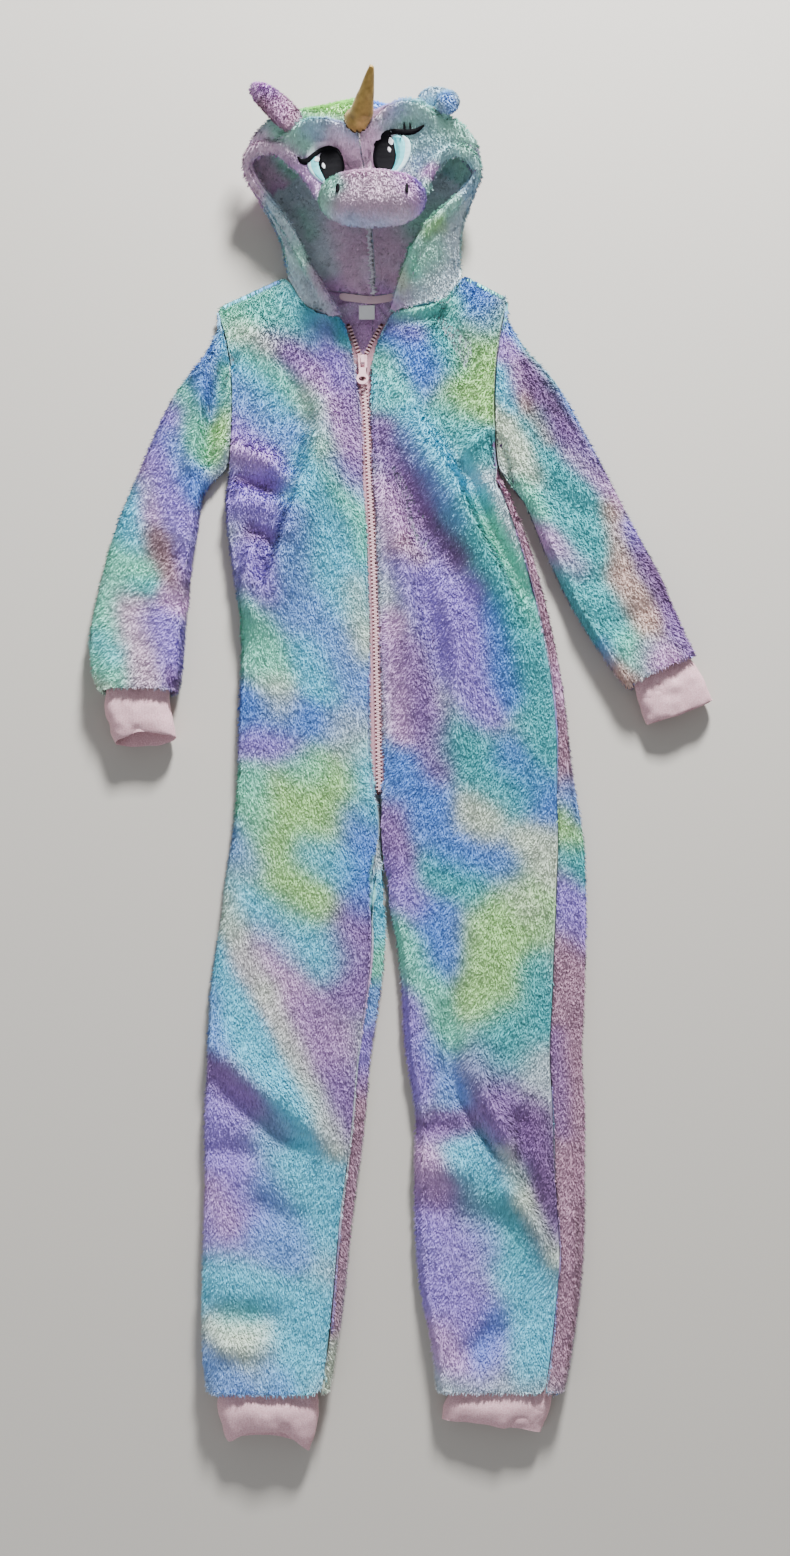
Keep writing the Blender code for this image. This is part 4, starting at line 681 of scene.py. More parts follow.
# Polyester plush: dull fibres that catch light at their edges, so a strong soft sheen.
PLUSH_CRIMP = 4.2            # mm between the waves of the pile
plush, tree, surface = finish_named("Dyed_polyester_plush", {
    "Roughness": 0.95, "IOR": 1.45, "Specular IOR Level": 0.15,
    "Sheen Weight": 0.22, "Sheen Roughness": 0.5})
dye_and_painted_light = add(tree, "Attribute", {"attribute_name": "dye_and_painted_light"})
place = add(tree, "TexCoord")
crimp = add(tree, "TexNoise", {"Scale": 1000 / PLUSH_CRIMP, "Detail": 3.0, "Distortion": 0.6},
            {"Vector": (place, "Object")})
# Painted shade and highlight: the crimp that bumps the pile also darkens its colour in the troughs and
# lightens it on the crests
crimp_shade = add(tree, "MapRange", {"To Min": 0.93, "To Max": 1.07}, {"Value": (crimp, "Fac")})
shade = add(tree, "VectorMath", {"operation": "SCALE"},
            {"Vector": (dye_and_painted_light, "Color"), "Scale": (crimp_shade, "Result")})
tree.links.new(shade.outputs["Vector"], surface.inputs["Base Color"])
waves = add(tree, "Bump", {"Strength": 0.5, "Distance": 0.0012}, {"Height": (crimp, "Fac")})
tree.links.new(waves.outputs["Normal"], surface.inputs["Normal"])


def coloured(mesh, colours):
    """Stores a colour for every point of the mesh, as the plush's dye and any painted light on it."""
    layer = mesh.color_attributes.new(name="dye_and_painted_light", type="FLOAT_COLOR", domain="POINT")
    layer.data.foreach_set("color", np.column_stack([colours, np.ones(len(colours))]).ravel())


PILE_LENGTH, PILE_WIDTH = 0.0042, 0.0013
PILE_SPACING = 0.00135       # between the drawn tufts, each one standing for many fibres
RIPPLE = 0.0026              # between the ripples that the tips of the pile gather in
WALL_COVER, UNDER_COVER = 1.8, 0.16      # density of tufts on the fronts' walls, the floor side
NOSTRIL_OVALS = [(-57.7, 496.2), (5.3, 496.2)]   # their middles, mm


def under_stitching(points):
    """True where an eye's embroidery lies over the pile."""
    x, y = points[:, 0] / MM, points[:, 1] / MM
    over = np.zeros(len(points), bool)
    for shapes in STITCHES.values():
        for _, _, spine in shapes:
            away, _, width = along_line(x, y, spine)
            over |= away < width / 2 + 0.2
    for nostril_x, nostril_y in NOSTRIL_OVALS:
        over |= np.hypot((x - nostril_x) / 2.9, (y - nostril_y) / 5.6) < 1
    return over & (points[:, 2] > 0.05)


def pile(name, mesh, opened, colours, seed, length=1.0, spacing=1.0, nap=(0.25, -1, 0)):
    """Wavy tufts over the open side of a plush piece, as one mesh that goes with it."""
    rng = np.random.default_rng(seed)
    corners, points, normals, (a, b, c) = triangles_of(mesh)
    area = np.linalg.norm(np.cross(b - a, c - a), axis=1) / 2
    free = opened[corners].mean(axis=1)
    upward = normals[corners][:, :, 2].mean(axis=1)
    cover = np.where((abs(upward) < 0.6) & (name[5:10] == "front"), WALL_COVER, 1.0)
    wanted = area * cover * np.clip((free - 0.12) / 0.3, 0, 1)
    wanted *= np.where(upward < -0.75, UNDER_COVER, 1.0)
    count = int(wanted.sum() / (PILE_SPACING * spacing) ** 2)
    chosen = rng.choice(len(corners), count, p=wanted / wanted.sum())
    share = rng.dirichlet((1, 1, 1), count)
    corner = corners[chosen]
    bare = under_stitching(np.einsum("ij,ij...->i...", share, points[corner]))
    share, corner = share[~bare], corner[~bare]
    count = len(corner)
    root, normal, colour = (np.einsum("ij,ij...->i...", share, values[corner])
                            for values in (points, normals, colours))
    normal = unit(normal)

    # Fibres comb along the nap and their tips gather in short ripples across it.
    comb = np.array(nap, float) + 0 * root
    off, hand, _ = along_line(root[:, 0] / MM, root[:, 1] / MM, ZIP_LINE)
    comb[:, 0] -= 2.2 * hand * np.exp(-(off / 8) ** 2) * (normal[:, 2] > 0)
    swing = 0.35 * drift(root, 0.045, seed + 1) + 0.25 * drift(root, 0.014, seed + 2)
    comb[:, 0], comb[:, 1] = (comb[:, 0] * np.cos(swing) - comb[:, 1] * np.sin(swing),
                              comb[:, 0] * np.sin(swing) + comb[:, 1] * np.cos(swing))
    comb = unit(comb - normal * np.sum(comb * normal, axis=1)[:, None])
    across = np.cross(normal, comb)
    warped = root + 0.0025 * np.column_stack([drift(root, 0.007, seed + k) for k in (3, 4, 5)])
    ripple = 0.5 + 0.5 * (0.72 * drift(warped * [0.42, 1, 0.7], RIPPLE, seed + 6)
                          + 0.42 * drift(warped * [0.6, 1, 0.8], RIPPLE / 2, seed + 7))
    held = held_down(root) * (normal[:, 2] > 0.1)
    length = length * (1 - 0.7 * held)
    rise = (0.32 + 0.38 * ripple) * length
    reach = (0.75 + 0.15 * rng.standard_normal(count)).clip(0.4, 1.15) * length
    blade = (normal * rise[:, None] + comb * reach[:, None] * 0.7
             + (0.09 * length)[:, None] * rng.standard_normal((count, 3)))
    tip = root + blade * PILE_LENGTH
    side = unit(across + 0.25 * rng.standard_normal((count, 3)))
    side *= np.where(np.sum(np.cross(side, blade) * normal, axis=1) < 0, -1, 1)[:, None]
    half = side * (PILE_WIDTH / 2) * (0.75 + 0.5 * rng.random(count))[:, None]
    cloud = np.stack([root - half, root + half, tip + 0.35 * half, tip - 0.35 * half], axis=1)
    cloud = cloud.reshape(-1, 3)
    cloud[:, 2] = np.maximum(cloud[:, 2], FLOOR_GAP)

    made = bpy.data.meshes.new(name)
    made.vertices.add(count * 4)
    made.vertices.foreach_set("co", cloud.ravel())
    made.loops.add(count * 4)
    made.loops.foreach_set("vertex_index", np.arange(count * 4, dtype=np.int32))
    made.polygons.add(count)
    made.polygons.foreach_set("loop_start", np.arange(0, count * 4, 4, dtype=np.int32))
    made.update(calc_edges=True)
    soft = normal + 0.17 * rng.standard_normal((count, 3)) + comb * 1.1 * (ripple[:, None] - 0.5)
    soft = unit(soft)
    made.normals_split_custom_set_from_vertices(np.repeat(soft, 4, axis=0))
    # Painted light: each tuft is painted darker at its root and lighter at its tip, lighter on the
    # ripples' crests and darker in their troughs, and darker where stitching holds it down; a small
    # random tone of its own is mixed in
    painted_light_and_tone = (0.62 + 0.72 * ripple)[:, None] * np.array([0.9, 0.9, 1.07, 1.07])
    painted_light_and_tone = painted_light_and_tone * ((1 + 0.04 * rng.standard_normal(count)) * (1 - 0.5 * held))[:, None]
    coloured(made, (colour[:, None, :] * painted_light_and_tone[:, :, None]).reshape(-1, 3))
    return show(name, made, [plush])


def backing(mesh, opened, by):
    """Lowers the open side to the knitted backing, so that the pile ends where the solid
    does, and closes the turned edges up to each other where they are sewn."""
    corners, points, normals, (a, b, c) = triangles_of(mesh)
    facing = np.cross(b - a, c - a) * (opened[corners].mean(axis=1) ** 3)[:, None]
    way = np.column_stack([np.bincount(corners.ravel(), np.repeat(facing[:, k], 3), len(points))
                           for k in range(3)])
    way = unit(way + 1e-9 * normals)
    free = np.clip(opened * 2.5, 0, 1)
    free *= 1 - 0.75 * eased(-way[:, 2], 0.1, 0.5)
    points -= way * (by * free)[:, None] - normals * (0.00025 * (1 - free))[:, None]
    moved(mesh, points)
    return points, numbers(mesh, "normal")


HEM = 14.0                   # mm, the turned hem round the face
# The hood's rim on each side, from the neck up and round to the muzzle, in mm
RIM = {
    "hood_right": [(-56, 411, 12), (-74, 436, 26), (-87, 463, 32), (-102, 490, 36),
                   (-121, 513, 40), (-138, 532, 44), (-141, 546, 50), (-127, 550, 58),
                   (-112, 542, 62), (-100, 531, 63), (-91, 520, 63), (-84, 511, 63)],
    "hood_left": [(-11, 416, 12), (-3, 442, 28), (6, 466, 36), (22, 490, 43), (46, 508, 48),
                  (68, 526, 50), (67, 537, 55), (57, 544, 59), (49, 544, 62), (41, 538, 63),
                  (34, 528, 63), (29, 518, 63)],
}


def rim_distance(points, rim):
    """Distance of each point from the rim, in metres."""
    nearest = np.full(len(points), 1e9)
    course = through(rim, 60) * MM
    for start, end in zip(course, course[1:]):
        run = end - start
        t = np.clip((points - start) @ run / (run @ run), 0, 1)
        nearest = np.minimum(nearest, np.linalg.norm(points - start - t[:, None] * run, axis=1))
    return nearest


PLUSH_PANELS = {             # material slot, seed, cut width and length (m), nap
    "back_right": ("plush_mauve", 11, (0.138, 1.02), (0.2, -1, 0)),
    "back_left": ("plush_mauve", 12, (0.170, 1.02), (-0.2, -1, 0)),
    "front_right": ("plush_aqua", 13, (0.141, 1.02), (0.2, -1, 0)),
    "front_left": ("plush_lilac", 14, (0.143, 1.02), (-0.2, -1, 0)),
    "sleeve_right": ("plush_blue", 15, (0.150, 0.38), (-0.3, -1, 0)),
    "sleeve_left": ("plush_blue", 16, (0.156, 0.39), (0.5, -1, 0)),
    "hood_right": ("plush_mint", 17, (0.165, 0.205), (-0.1, -1, 0.2)),
    "hood_left": ("plush_mint", 18, (0.180, 0.205), (0.1, -1, 0.2)),
}
BACKING = 0.0022             # metres that the knitted backing lies under the solid's face
ZIP_TUCK = 1.7               # mm that the fronts' turned edges close in on the teeth
ZIP_END = (-0.343, -0.330)   # -y in metres where that begins and is whole, from the top down
ZIP_OPEN = 9                 # mm from the zip within which the upper cloth counts as open
# Painted shade, as the bare cloth's brightness under its pile: on the hood, in a seam, and what
# openness adds, so it darkens where other cloth closes round it
HOOD_BARE_SHADE, SEAM_BARE_SHADE, OPEN_BARE_SHADE = 0.94, 0.45, 0.35
for node, (slot, seed, cut, nap) in PLUSH_PANELS.items():
    mesh = finer(node, 2, {"back": 1.0, "hood": 0.448}.get(node[:4], -1.0))
    points = numbers(mesh)
    opened = openness(points, numbers(mesh, "normal"))
    if node in ("front_right", "front_left"):
        away, hand, _ = along_line(points[:, 0] / MM, points[:, 1] / MM, ZIP_LINE)
        opened = np.where((away < ZIP_OPEN) & (points[:, 2] > 0.0085), 1.0, opened)
        tuck = ZIP_TUCK * MM * hand * np.exp(-(away / 8) ** 2)
        points[:, 0] -= tuck * eased(-points[:, 1], *ZIP_END)
        moved(mesh, points)
    if node in RIM:
        points, normals = numbers(mesh), numbers(mesh, "normal")
        from_rim = rim_distance(points, RIM[node]) / MM
        hem = 2.2 * np.sin(np.clip(from_rim / HEM, 0, 1) * math.pi)
        hem -= 1.6 * np.exp(-((from_rim - HEM) / 2) ** 2)
        points += normals * (hem * MM)[:, None]
    else:
        flat = np.clip(opened * 1.5 - 0.4, 0, 1) * eased(numbers(mesh, "normal")[:, 2], 0.5, 0.8)
        points = evened(mesh, flat)
    rise = fold_rise(points)
    lowest = np.minimum(points[:, 2], np.where(numbers(mesh, "normal")[:, 2] > 0, 0.009, 0.004))
    points[:, 2] = np.maximum(points[:, 2] + rise, lowest)
    moved(mesh, points)
    points, normals = backing(mesh, opened, BACKING)
    colours = dyed(node, points, normals)
    # Painted shade: the bare cloth is darkened under the pile, and most in seams and hollows where
    # openness is low
    bare = SEAM_BARE_SHADE + OPEN_BARE_SHADE * np.clip(opened[:, None] * 2, 0, 1)
    bare = HOOD_BARE_SHADE if node in RIM else bare
    coloured(mesh, colours * bare)
    piece = show("plush_" + node, mesh, [plush])
    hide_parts(node)
    tufts = pile("pile_" + node, mesh, opened, colours, seed, nap=nap)

# Muzzle ------------------------------------------------------------------------------
# A plump oval of the same plush, filled with polyester wadding and sewn to the hood's
# front edge, with two nostrils in black thread.

STUFFED = {                  # material slot, seed, pile length, how far it sinks, nap
    "muzzle": ("muzzle_plush", 21, 0.7, 0.0014, (0.1, -1, -0.3)),
    "ear_right": ("plush_lilac", 22, 0.8, -0.0004, (0.4, -1, 0)),
    "ear_left": ("plush_blue", 23, 0.8, -0.0018, (0.4, -1, 0)),
}


STUFFED_BARE_SHADE = 0.8           # painted shade: the bare cloth under its pile is darkened to this brightness


def stuffed_piece(node, slot, seed, length, sinks, nap):
    """Shows a filled plush piece with its pile."""
    mesh = finer(node, 3)
    opened = openness(numbers(mesh), numbers(mesh, "normal"))
    opened = np.where(numbers(mesh, "normal")[:, 2] > -0.35, np.maximum(opened, 0.6), opened)
    points, normals = backing(mesh, opened, sinks)
    colours = streaked(node, points)
    # Painted shade: the bare cloth under the pile is darkened
    coloured(mesh, colours * STUFFED_BARE_SHADE)
    piece = show("plush_" + node, mesh, [plush])
    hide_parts(node)
    pile("pile_" + node, mesh, opened, colours, seed, length, 0.8, nap)


stuffed_piece("muzzle", *STUFFED["muzzle"])
MUZZLE_TOP = solids_tree(["muzzle"])
NOSTRILS = {                 # spines of x, y and width in mm
    "nostril_right": [(-57.6, 500.2, 1.6), (-57.4, 497.6, 3.4), (-57.8, 494.4, 3.4),
                      (-58.2, 491.8, 1.4)],
    "nostril_left": [(5.4, 500.6, 1.4), (5.2, 498, 3.0), (5.4, 494.6, 3.0), (5.8, 491.8, 1.2)],
}
for node, spine in NOSTRILS.items():
    mesh = meshed(node, *band(spine, MUZZLE_TOP, 1.3, 12, 6, 3.0))
    nostril = show("embroidered_" + node, mesh, [thread_finishes["black"]])
    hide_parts(node)

# Ears --------------------------------------------------------------------------------
# Lightly filled tubes of the hood's plush, each sewn from two halves, turned right side
# out, closed at the tip and caught into the crown's seams.

for node in ("ear_right", "ear_left"):
    stuffed_piece(node, *STUFFED[node])

# Horn --------------------------------------------------------------------------------
# A slim cone of gold polyester satin, filled hard and oversewn round its foot to the
# hood with brown thread.

# Satin: long floats that shine softly across the weave, dull gold, painted darker in the hollows of
# its puckers and lighter on their tops.
gold, tree, surface = finish_named("Gold_polyester_satin", {
    "Base Color": linear("#b3924a"), "Roughness": 0.55, "Metallic": 0.25, "Sheen Weight": 0.1})
place = add(tree, "TexCoord")
creases = add(tree, "TexNoise", {"Scale": 130.0, "Detail": 4.0}, {"Vector": (place, "Object")})
# Painted shade: the noise that puckers the satin darkens its gold in the hollows and lightens it on
# the tops
pucker_shade = add(tree, "ValToRGB", {}, {"Fac": (creases, "Fac")})
for stop, position, code in ((0, 0.3, "#866a2c"), (1, 0.7, "#bd9b4e")):
    pucker_shade.color_ramp.elements[stop].position = position
    pucker_shade.color_ramp.elements[stop].color = linear(code)
tree.links.new(pucker_shade.outputs["Color"], surface.inputs["Base Color"])
puckers = add(tree, "Bump", {"Strength": 0.6, "Distance": 0.0008}, {"Height": (creases, "Fac")})
tree.links.new(puckers.outputs["Normal"], surface.inputs["Normal"])
HORN_LEAN = (0.005, 0.003)   # how far the tip leans left and towards the crown, metres
horn_mesh = finer("horn", 2)
horn_points = numbers(horn_mesh)
HORN_FOOT = horn_points[horn_points[:, 1] < horn_points[:, 1].min() + 0.012].mean(axis=0)
HORN_TIP = horn_points[np.argmax(horn_points[:, 1])]
up_horn = np.clip((horn_points - HORN_FOOT) @ (HORN_TIP - HORN_FOOT)
                  / np.sum((HORN_TIP - HORN_FOOT) ** 2), 0, 1)
steps = np.linspace(0, 1, 11)
middles = np.array([horn_points[abs(up_horn - step) < 0.07].mean(axis=0) for step in steps])
straight = HORN_FOOT + steps[:, None] * (HORN_TIP - HORN_FOOT)
for axis, lean in enumerate(HORN_LEAN):
    shift = np.interp(up_horn, steps, (straight - middles)[:, axis]) * eased(up_horn, 0, 0.3)
    horn_points[:, axis] += shift + lean * up_horn
moved(horn_mesh, horn_points)
horn = show("satin_horn", horn_mesh, [gold])
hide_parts("horn")


def strands(name, runs, radius, material, sides=5):
    """Thread or cord along each run of points in metres, as one mesh of thin round strands."""
    points, faces = [], []
    for run in runs:
        run = np.array(run, float)
        way = unit(np.gradient(run, axis=0))
        side = unit(np.cross(way, [0.13, 0.21, 1.0]))
        up = np.cross(side, way)
        first = len(points)
        for centre, s, u in zip(run, side, up):
            points += [tuple(centre + radius * (s * math.cos(a) + u * math.sin(a)))
                       for a in np.arange(sides) * 2 * math.pi / sides]
        for i in range(len(run) - 1):
            ring = first + i * sides
            faces += [(ring + k, ring + (k + 1) % sides, ring + sides + (k + 1) % sides,
                       ring + sides + k) for k in range(sides)]
        faces += [tuple(first + k for k in reversed(range(sides))),
                  tuple(len(points) - sides + k for k in range(sides))]
    return show(name, meshed(name, points, faces), [material])


# Spun polyester thread: matt, dark brown.
brown_thread, tree, surface = finish_named("Brown_spun_thread", {
    "Base Color": linear("#4b3a26"), "Roughness": 0.8})
HORN_STITCHES = 15
# One stitch: height over the foot in metres and turn round it in radians, top to bottom
HORN_STITCH = [(0.0045, 0.0), (0.002, 0.15), (-0.0005, 0.3)]
horn_points = numbers(horn_mesh)
foot = horn_points[horn_points[:, 2] < horn_points[:, 2].min() + 0.006]
centre = foot.mean(axis=0)
round_foot = max(np.hypot(*(foot - centre)[:, :2].T))
HORN_SKIN = BVHTree.FromPolygons([Vector(p) for p in horn_points],
                                 [list(p.vertices) for p in horn_mesh.polygons])
oversewing = []
for k in range(HORN_STITCHES):
    angle = 2 * math.pi * k / HORN_STITCHES
    run = []
    for height, turn in HORN_STITCH:
        aim = Vector((math.cos(angle + turn), math.sin(angle + turn), 0))
        start = Vector(centre) + Vector((0, 0, height)) + aim * 0.05
        hit = HORN_SKIN.ray_cast(start, -aim)[0]
        spot = hit if hit else Vector(centre) + aim * round_foot
        run.append(tuple(spot + aim * 0.0004))
    oversewing.append(run)
strands("horn_oversewing", oversewing, 0.0008, brown_thread)

# Zip ---------------------------------------------------------------------------------
# A moulded-tooth zip of pink polyacetal on a woven polyester tape of the same pink, sewn
# in behind the turned plush edges. Its slider and pull are zinc, sprayed pink.

# Woven tape: fine ribs along its run, matt, its pink painted darker than the teeth's for the shade
# beside the chain.
TAPE_RIB = 1.0               # mm between drawn ribs, twice the real pitch
shaded_tape_finish, tree, surface = finish_named("Woven_polyester_tape_painted_shade", {
    "Base Color": linear("#b98a95"), "Roughness": 0.85, "Sheen Weight": 0.05})
place = add(tree, "TexCoord")
ribs = add(tree, "TexWave", {"bands_direction": "Y", "Scale": WAVE_SCALE / TAPE_RIB},
           {"Vector": (place, "Object")})
ridges = add(tree, "Bump", {"Strength": 0.6, "Distance": 0.0003}, {"Height": (ribs, "Fac")})
tree.links.new(ridges.outputs["Normal"], surface.inputs["Normal"])
# Polyacetal, moulded: satin with small soft highlights.
tooth_finish, tree, surface = finish_named("Moulded_polyacetal_pink", {
    "Base Color": linear("#e9c0c6"), "Roughness": 0.4, "IOR": 1.48})
# Sprayed zinc: an even, slightly rippled pink paint with clear highlights.
paint, tree, surface = finish_named("Sprayed_zinc_pink", {
    "Base Color": linear("#efc3cb"), "Roughness": 0.28, "IOR": 1.5, "Coat Weight": 0.3,
    "Coat Roughness": 0.15})
place = add(tree, "TexCoord")
orange_peel = add(tree, "TexNoise", {"Scale": 900.0, "Detail": 1.0}, {"Vector": (place, "Object")})
dimples = add(tree, "Bump", {"Strength": 0.3, "Distance": 0.00004},
              {"Height": (orange_peel, "Fac")})
tree.links.new(dimples.outputs["Normal"], surface.inputs["Normal"])

cut = (0.0140, 0.45)         # width and length of each tape, metres
for node in ("zip_tape_right", "zip_tape_left"):
    tape = show("woven_" + node, finer(node, 1), [shaded_tape_finish])
    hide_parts(node)

TOOTH_PITCH = 3.6            # mm, along each side
NO_TEETH = (349.0, 364.0)    # y in mm between which teeth are left out, under slider and pull
# One tooth in mm, its shank on the tape and its tapered head: from, to, the half widths at
# both ends, bottom and top
TOOTH_PARTS = [(-2.9, 0.4, 0.8, 0.72, -0.4, 1.6), (0.4, 1.4, 0.72, 0.5, -0.4, 1.5)]
BOX_FACES = [(0, 1, 3, 2), (4, 6, 7, 5), (0, 4, 5, 1), (2, 3, 7, 6), (1, 5, 7, 3), (0, 2, 6, 4)]


def inner_edge(node, hand):
    """Course of a tape's toothed edge from the foot up, as x, y, z in mm."""
    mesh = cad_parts[node].data
    points = numbers(mesh) / MM
    ends = np.array([tuple(e.vertices) for e in mesh.edges])
    first, second = points[ends[:, 0]], points[ends[:, 1]]
    course = []
    for y in np.arange(points[:, 1].min() + 1, points[:, 1].max() - 1, 2.0):
        cut = (first[:, 1] - y) * (second[:, 1] - y) < 0
        t = (y - first[cut, 1]) / (second[cut, 1] - first[cut, 1])
        met = first[cut] + t[:, None] * (second[cut] - first[cut])
        edge = met[np.argmax(met[:, 0] * hand)]
        course.append((edge[0], y, met[met[:, 0] * hand > edge[0] * hand - 1.5, 2].max()))
    return np.array(course)


def tooth(centre, run, hand):
    """Corners and faces of one tooth, which reaches out from the tape at centre."""
    run = run / np.linalg.norm(run)
    out = np.array([-run[1], run[0], 0.0]) * -hand
    out *= 1 if out[0] * hand > 0 else -1
    points, faces = [], []
    for start, end, near_half, far_half, low, high in TOOTH_PARTS:
        first = len(points)
        for along in (-1, 1):
            for reach, half in ((start, near_half), (end, far_half)):
                spot = centre + run * along * half + out * reach
                points += [spot + np.array([0, 0, height]) for height in (low, high)]
        faces += [[first + i for i in face] for face in BOX_FACES]
    return points, faces


# The cord woven into each toothed edge, painted dark brown for the shade between the teeth.
cord_shade_finish, tree, surface = finish_named("Edge_cord_painted_shade", {
    "Base Color": linear("#5c3336"), "Roughness": 0.9})
for node, hand in (("zip_tape_right", 1), ("zip_tape_left", -1)):
    course = inner_edge(node, hand)
    strands("edge_cord_" + node[9:], [(course + [-0.9 * hand, 0, -0.9]) * MM], 0.0017,
            cord_shade_finish, 6)
    lengths = np.concatenate([[0], np.cumsum(np.linalg.norm(np.diff(course, axis=0), axis=1))])
    places = np.arange(3 + (TOOTH_PITCH / 2 if hand > 0 else 0), lengths[-1] - 2, TOOTH_PITCH)
    points, faces = [], []
    for s in places:
        centre, ahead = ([np.interp(s + step, lengths, course[:, k]) for k in range(3)]
                         for step in (0, 1.0))
        if NO_TEETH[0] < centre[1] < NO_TEETH[1]:
            continue
        new_points, new_faces = tooth(np.array(centre), np.array(ahead) - centre, hand)
        faces += [[len(points) + i for i in face] for face in new_faces]
        points += new_points
    mesh = bpy.data.meshes.new("teeth")
    mesh.from_pydata([tuple(np.array(p) * MM) for p in points], [], faces)
    teeth = show("teeth_" + node[9:], mesh, [tooth_finish])
    soft_edge = teeth.modifiers.new("moulded_edge", "BEVEL")
    soft_edge.width, soft_edge.segments = 0.0002, 1

for node in ("zip_slider", "zip_pull"):
    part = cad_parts[node]
    part.data.materials.clear()
    part.data.materials.append(paint)

# Cuffs -------------------------------------------------------------------------------
# Pale pink cotton jersey, cut double as a tube and sewn with its raw edge inside the
# sleeve or leg; it pulls the plush in a little and creases where it lies empty.

# Cotton jersey: matt, a heather of two close pinks, with fine knitted rows.
JERSEY_ROW = 1.3             # mm between drawn rows, about double the real ones
jersey, tree, surface = finish_named("Heather_cotton_jersey", {
    "Roughness": 0.95, "Specular IOR Level": 0.2, "Sheen Weight": 0.08, "Sheen Roughness": 0.4})
place = add(tree, "TexCoord")
fleck = add(tree, "TexNoise", {"Scale": 900.0, "Detail": 2.0}, {"Vector": (place, "Object")})
heather = add(tree, "ValToRGB", {}, {"Fac": (fleck, "Fac")})
for stop, position, code in ((0, 0.35, "#d2a3ab"), (1, 0.65, "#eac2c8")):
    heather.color_ramp.elements[stop].position = position
    heather.color_ramp.elements[stop].color = linear(code)
tree.links.new(heather.outputs["Color"], surface.inputs["Base Color"])
rows = add(tree, "TexWave", {"bands_direction": "X", "Scale": WAVE_SCALE / JERSEY_ROW,
                             "Distortion": 2.0, "Detail": 1.0}, {"Vector": (place, "Object")})
ridges = add(tree, "Bump", {"Strength": 0.6, "Distance": 0.0003}, {"Height": (rows, "Fac")})
tree.links.new(ridges.outputs["Normal"], surface.inputs["Normal"])

CUFFS = {                    # cut width round the tube and height, and seed
    "wrist_cuff_right": ((0.150, 0.054), 31), "wrist_cuff_left": ((0.150, 0.054), 32),
    "ankle_cuff_right": ((0.188, 0.057), 33), "ankle_cuff_left": ((0.188, 0.050), 34),
}
CREASES, PUCKERS, HEM_WAVE = 0.0019, 0.0008, 0.004   # how far each moves the cloth, metres
for node, (cut, seed) in CUFFS.items():
    mesh = finer(node, 3)
    points, normals = numbers(mesh), numbers(mesh, "normal")
    crease = CREASES * drift(points * [1.2, 0.6, 1], 0.017, seed)
    crease = crease + PUCKERS * drift(points, 0.008, seed + 9)
    points += normals * (crease * eased(points[:, 2], 0.004, 0.010))[:, None]
    hem = eased(-points[:, 1], 0.590, 0.612) * eased(points[:, 2], 0.006, 0.014)
    points[:, 1] += HEM_WAVE * drift(points * [1, 0, 0.3], 0.022, seed + 4) * hem
    moved(mesh, points)
    cuff = show("jersey_" + node, mesh, [jersey])
    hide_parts(node)

# Neck tape and label -----------------------------------------------------------------
# Pink woven tape covers the seam at the back of the neck, stitched along both edges,
# with a plain white satin label caught under it.

# The same weave in a paler pink than the zip's.
neck_finish = shaded_tape_finish.copy()
neck_finish.name = "Woven_neck_tape"
surface = neck_finish.node_tree.nodes["Principled BSDF"]
surface.inputs["Base Color"].default_value = linear("#e8c6cf")
neck_tape = show("woven_neck_tape", finer("neck_tape", 2), [neck_finish])
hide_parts("neck_tape")
# Satin label ribbon: white, smooth, a soft shine.
label_finish, tree, surface = finish_named("White_satin_ribbon", {
    "Base Color": linear("#fbfbf9"), "Roughness": 0.45, "Sheen Weight": 0.1})
place = add(tree, "TexCoord")
LABEL_SCALE = 300.0          # bands a little over 1 mm apart, coarser than the real floats
floats = add(tree, "TexWave", {"bands_direction": "X", "Scale": LABEL_SCALE},
             {"Vector": (place, "Object")})
ridges = add(tree, "Bump", {"Strength": 0.3, "Distance": 0.0001}, {"Height": (floats, "Fac")})
tree.links.new(ridges.outputs["Normal"], surface.inputs["Normal"])
label = show("satin_label", finer("label", 0), [label_finish])
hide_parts("label")

# Hood seam ---------------------------------------------------------------------------
# The hood's halves meet in an overlocked seam that stands up inside, bound in pale thread
# that zigzags over both raw edges.

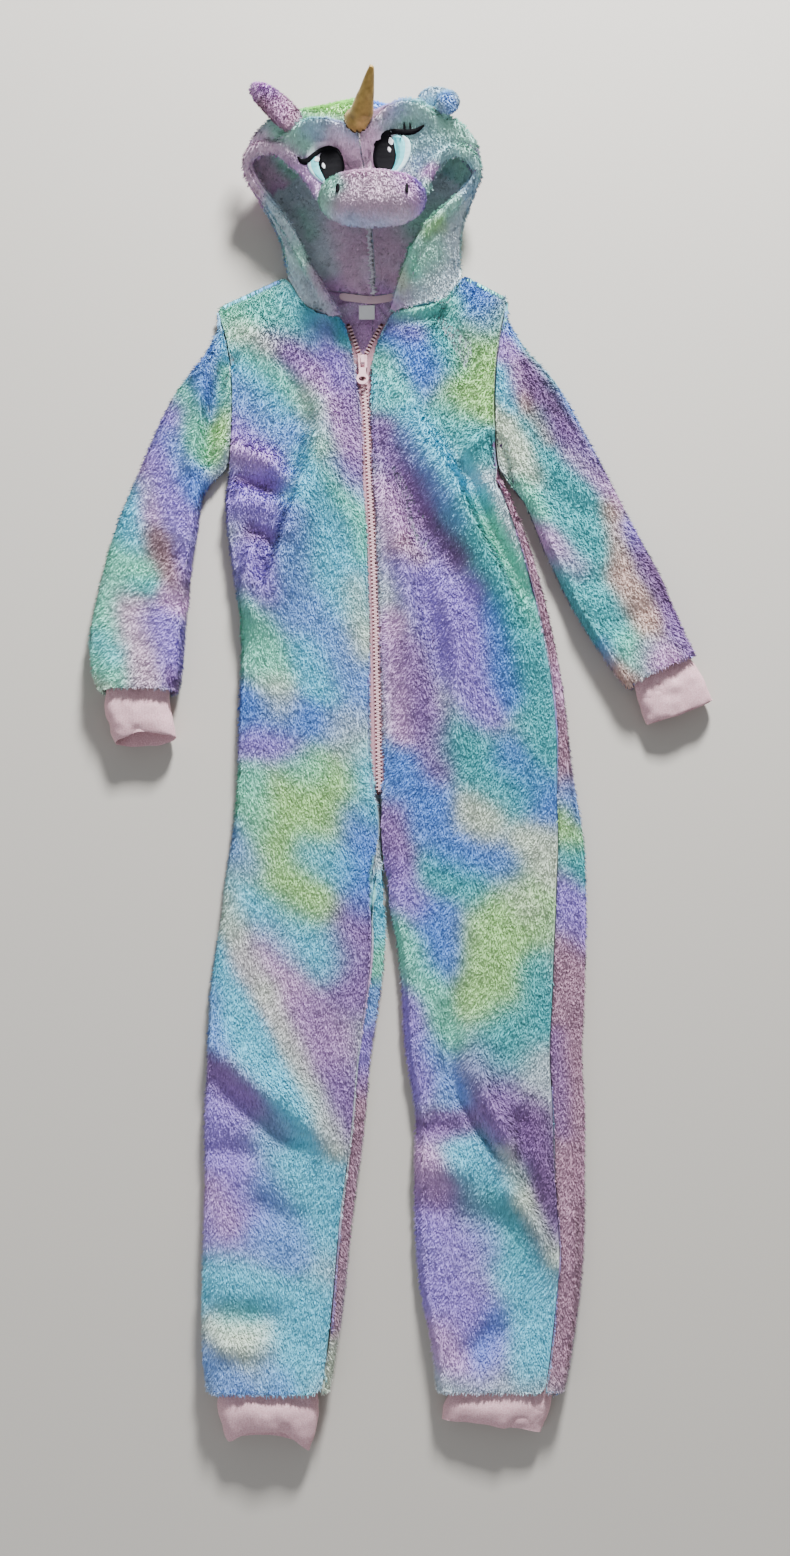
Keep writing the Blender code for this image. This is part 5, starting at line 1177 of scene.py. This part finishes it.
# Spun polyester thread: matt and pale.
pale_thread, tree, surface = finish_named("Pale_spun_thread", {
    "Base Color": linear("#f1eef6"), "Roughness": 0.85})
SEAM_COURSES = [             # down the back, and from the neck up through the hood
    [(-25.5, 350), (-25.5, 370), (-25.5, 392)],
    [(-26.5, 436), (-27.2, 450), (-28.5, 468), (-29.5, 486), (-31, 512)],
]
SEAM_WIDTH, SEAM_STEP = 5.5, 2.4         # mm, across the binding and along it
NO_CLOTH = 0.006             # height taken where no cloth lies below, metres
inside = solids_tree(["hood_right", "hood_left", "back_right", "back_left"])
zigzags, edges = [], []
for places in SEAM_COURSES:
    zigzag, edge = [], []
    turns = int(abs(places[-1][1] - places[0][1]) / SEAM_STEP)
    for i, (x, y) in enumerate(through(places, turns)):
        side = SEAM_WIDTH / 2 * (1 if i % 2 else -1) * (1 + 0.3 * math.sin(2.3 * i))
        low = inside.ray_cast(Vector(((x + 2) * MM, y * MM, 0.03)), Vector((0, 0, -1)))[0]
        level = low.z if low else NO_CLOTH
        wobble = 0.8 * math.sin(0.7 * i)
        slip = 0.7 * math.sin(3.1 * i)
        zigzag.append(((x + side + wobble) * MM, (y + slip) * MM, level + 0.0012))
        edge.append(((x + wobble) * MM, y * MM, level - 0.0006))
    zigzags.append(zigzag)
    edges.append(edge)
strands("overlock_hood", zigzags, 0.0009, pale_thread)
strands("overlocked_edges", edges, 0.0016, pale_thread, 8)

# Floor, light and camera -------------------------------------------------------------
# A plain pale matt floor, a soft lamp beyond the hood that stands for a window, a weak wide
# fill from the feet, and a camera that looks down on the suit from above the thighs.

floor_mesh = bpy.data.meshes.new("floor")
floor_mesh.from_pydata([(-3, -3, 0), (3, -3, 0), (3, 3, 0), (-3, 3, 0)], [], [(0, 1, 2, 3)])
floor = bpy.data.objects.new("floor", floor_mesh)
bpy.context.scene.collection.objects.link(floor)
matt, tree, surface = finish_named("Pale_matt_floor", {
    "Base Color": linear("#beb9b0"), "Roughness": 0.8})
floor_mesh.materials.append(matt)

LAMPS = [                    # name, place, size, watts, colour
    ("window", (0.40, 2.1, 1.27), 0.4, 200, "#f8f9fb"),
    ("fill", (-0.9, -1.3, 1.9), 1.6, 11, "#f0f4ff"),
]
AIM = Vector((0, 0.05, 0))   # what both lamps point at
for name, place, size, watts, colour in LAMPS:
    lamp = bpy.data.lights.new(name, "AREA")
    lamp.size, lamp.energy, lamp.color = size, watts, linear(colour)[:3]
    stand = bpy.data.objects.new(name, lamp)
    stand.location = place
    stand.rotation_euler = (AIM - Vector(place)).to_track_quat("-Z", "Y").to_euler()
    bpy.context.scene.collection.objects.link(stand)
world = bpy.data.worlds.new("soft_room")
world.use_nodes = True
sky = world.node_tree.nodes["Background"]
sky.inputs["Color"].default_value = linear("#f3f5fa")
sky.inputs["Strength"].default_value = 0.39
bpy.context.scene.world = world

lens = bpy.data.cameras.new("camera")
lens.lens, lens.sensor_width = 34.87, 36
camera = bpy.data.objects.new("camera", lens)
camera.location = (-0.0055, -0.21229, 1.3766)
camera.rotation_euler = (math.radians(7.5), 0, 0)
bpy.context.scene.collection.objects.link(camera)
bpy.context.scene.camera = camera
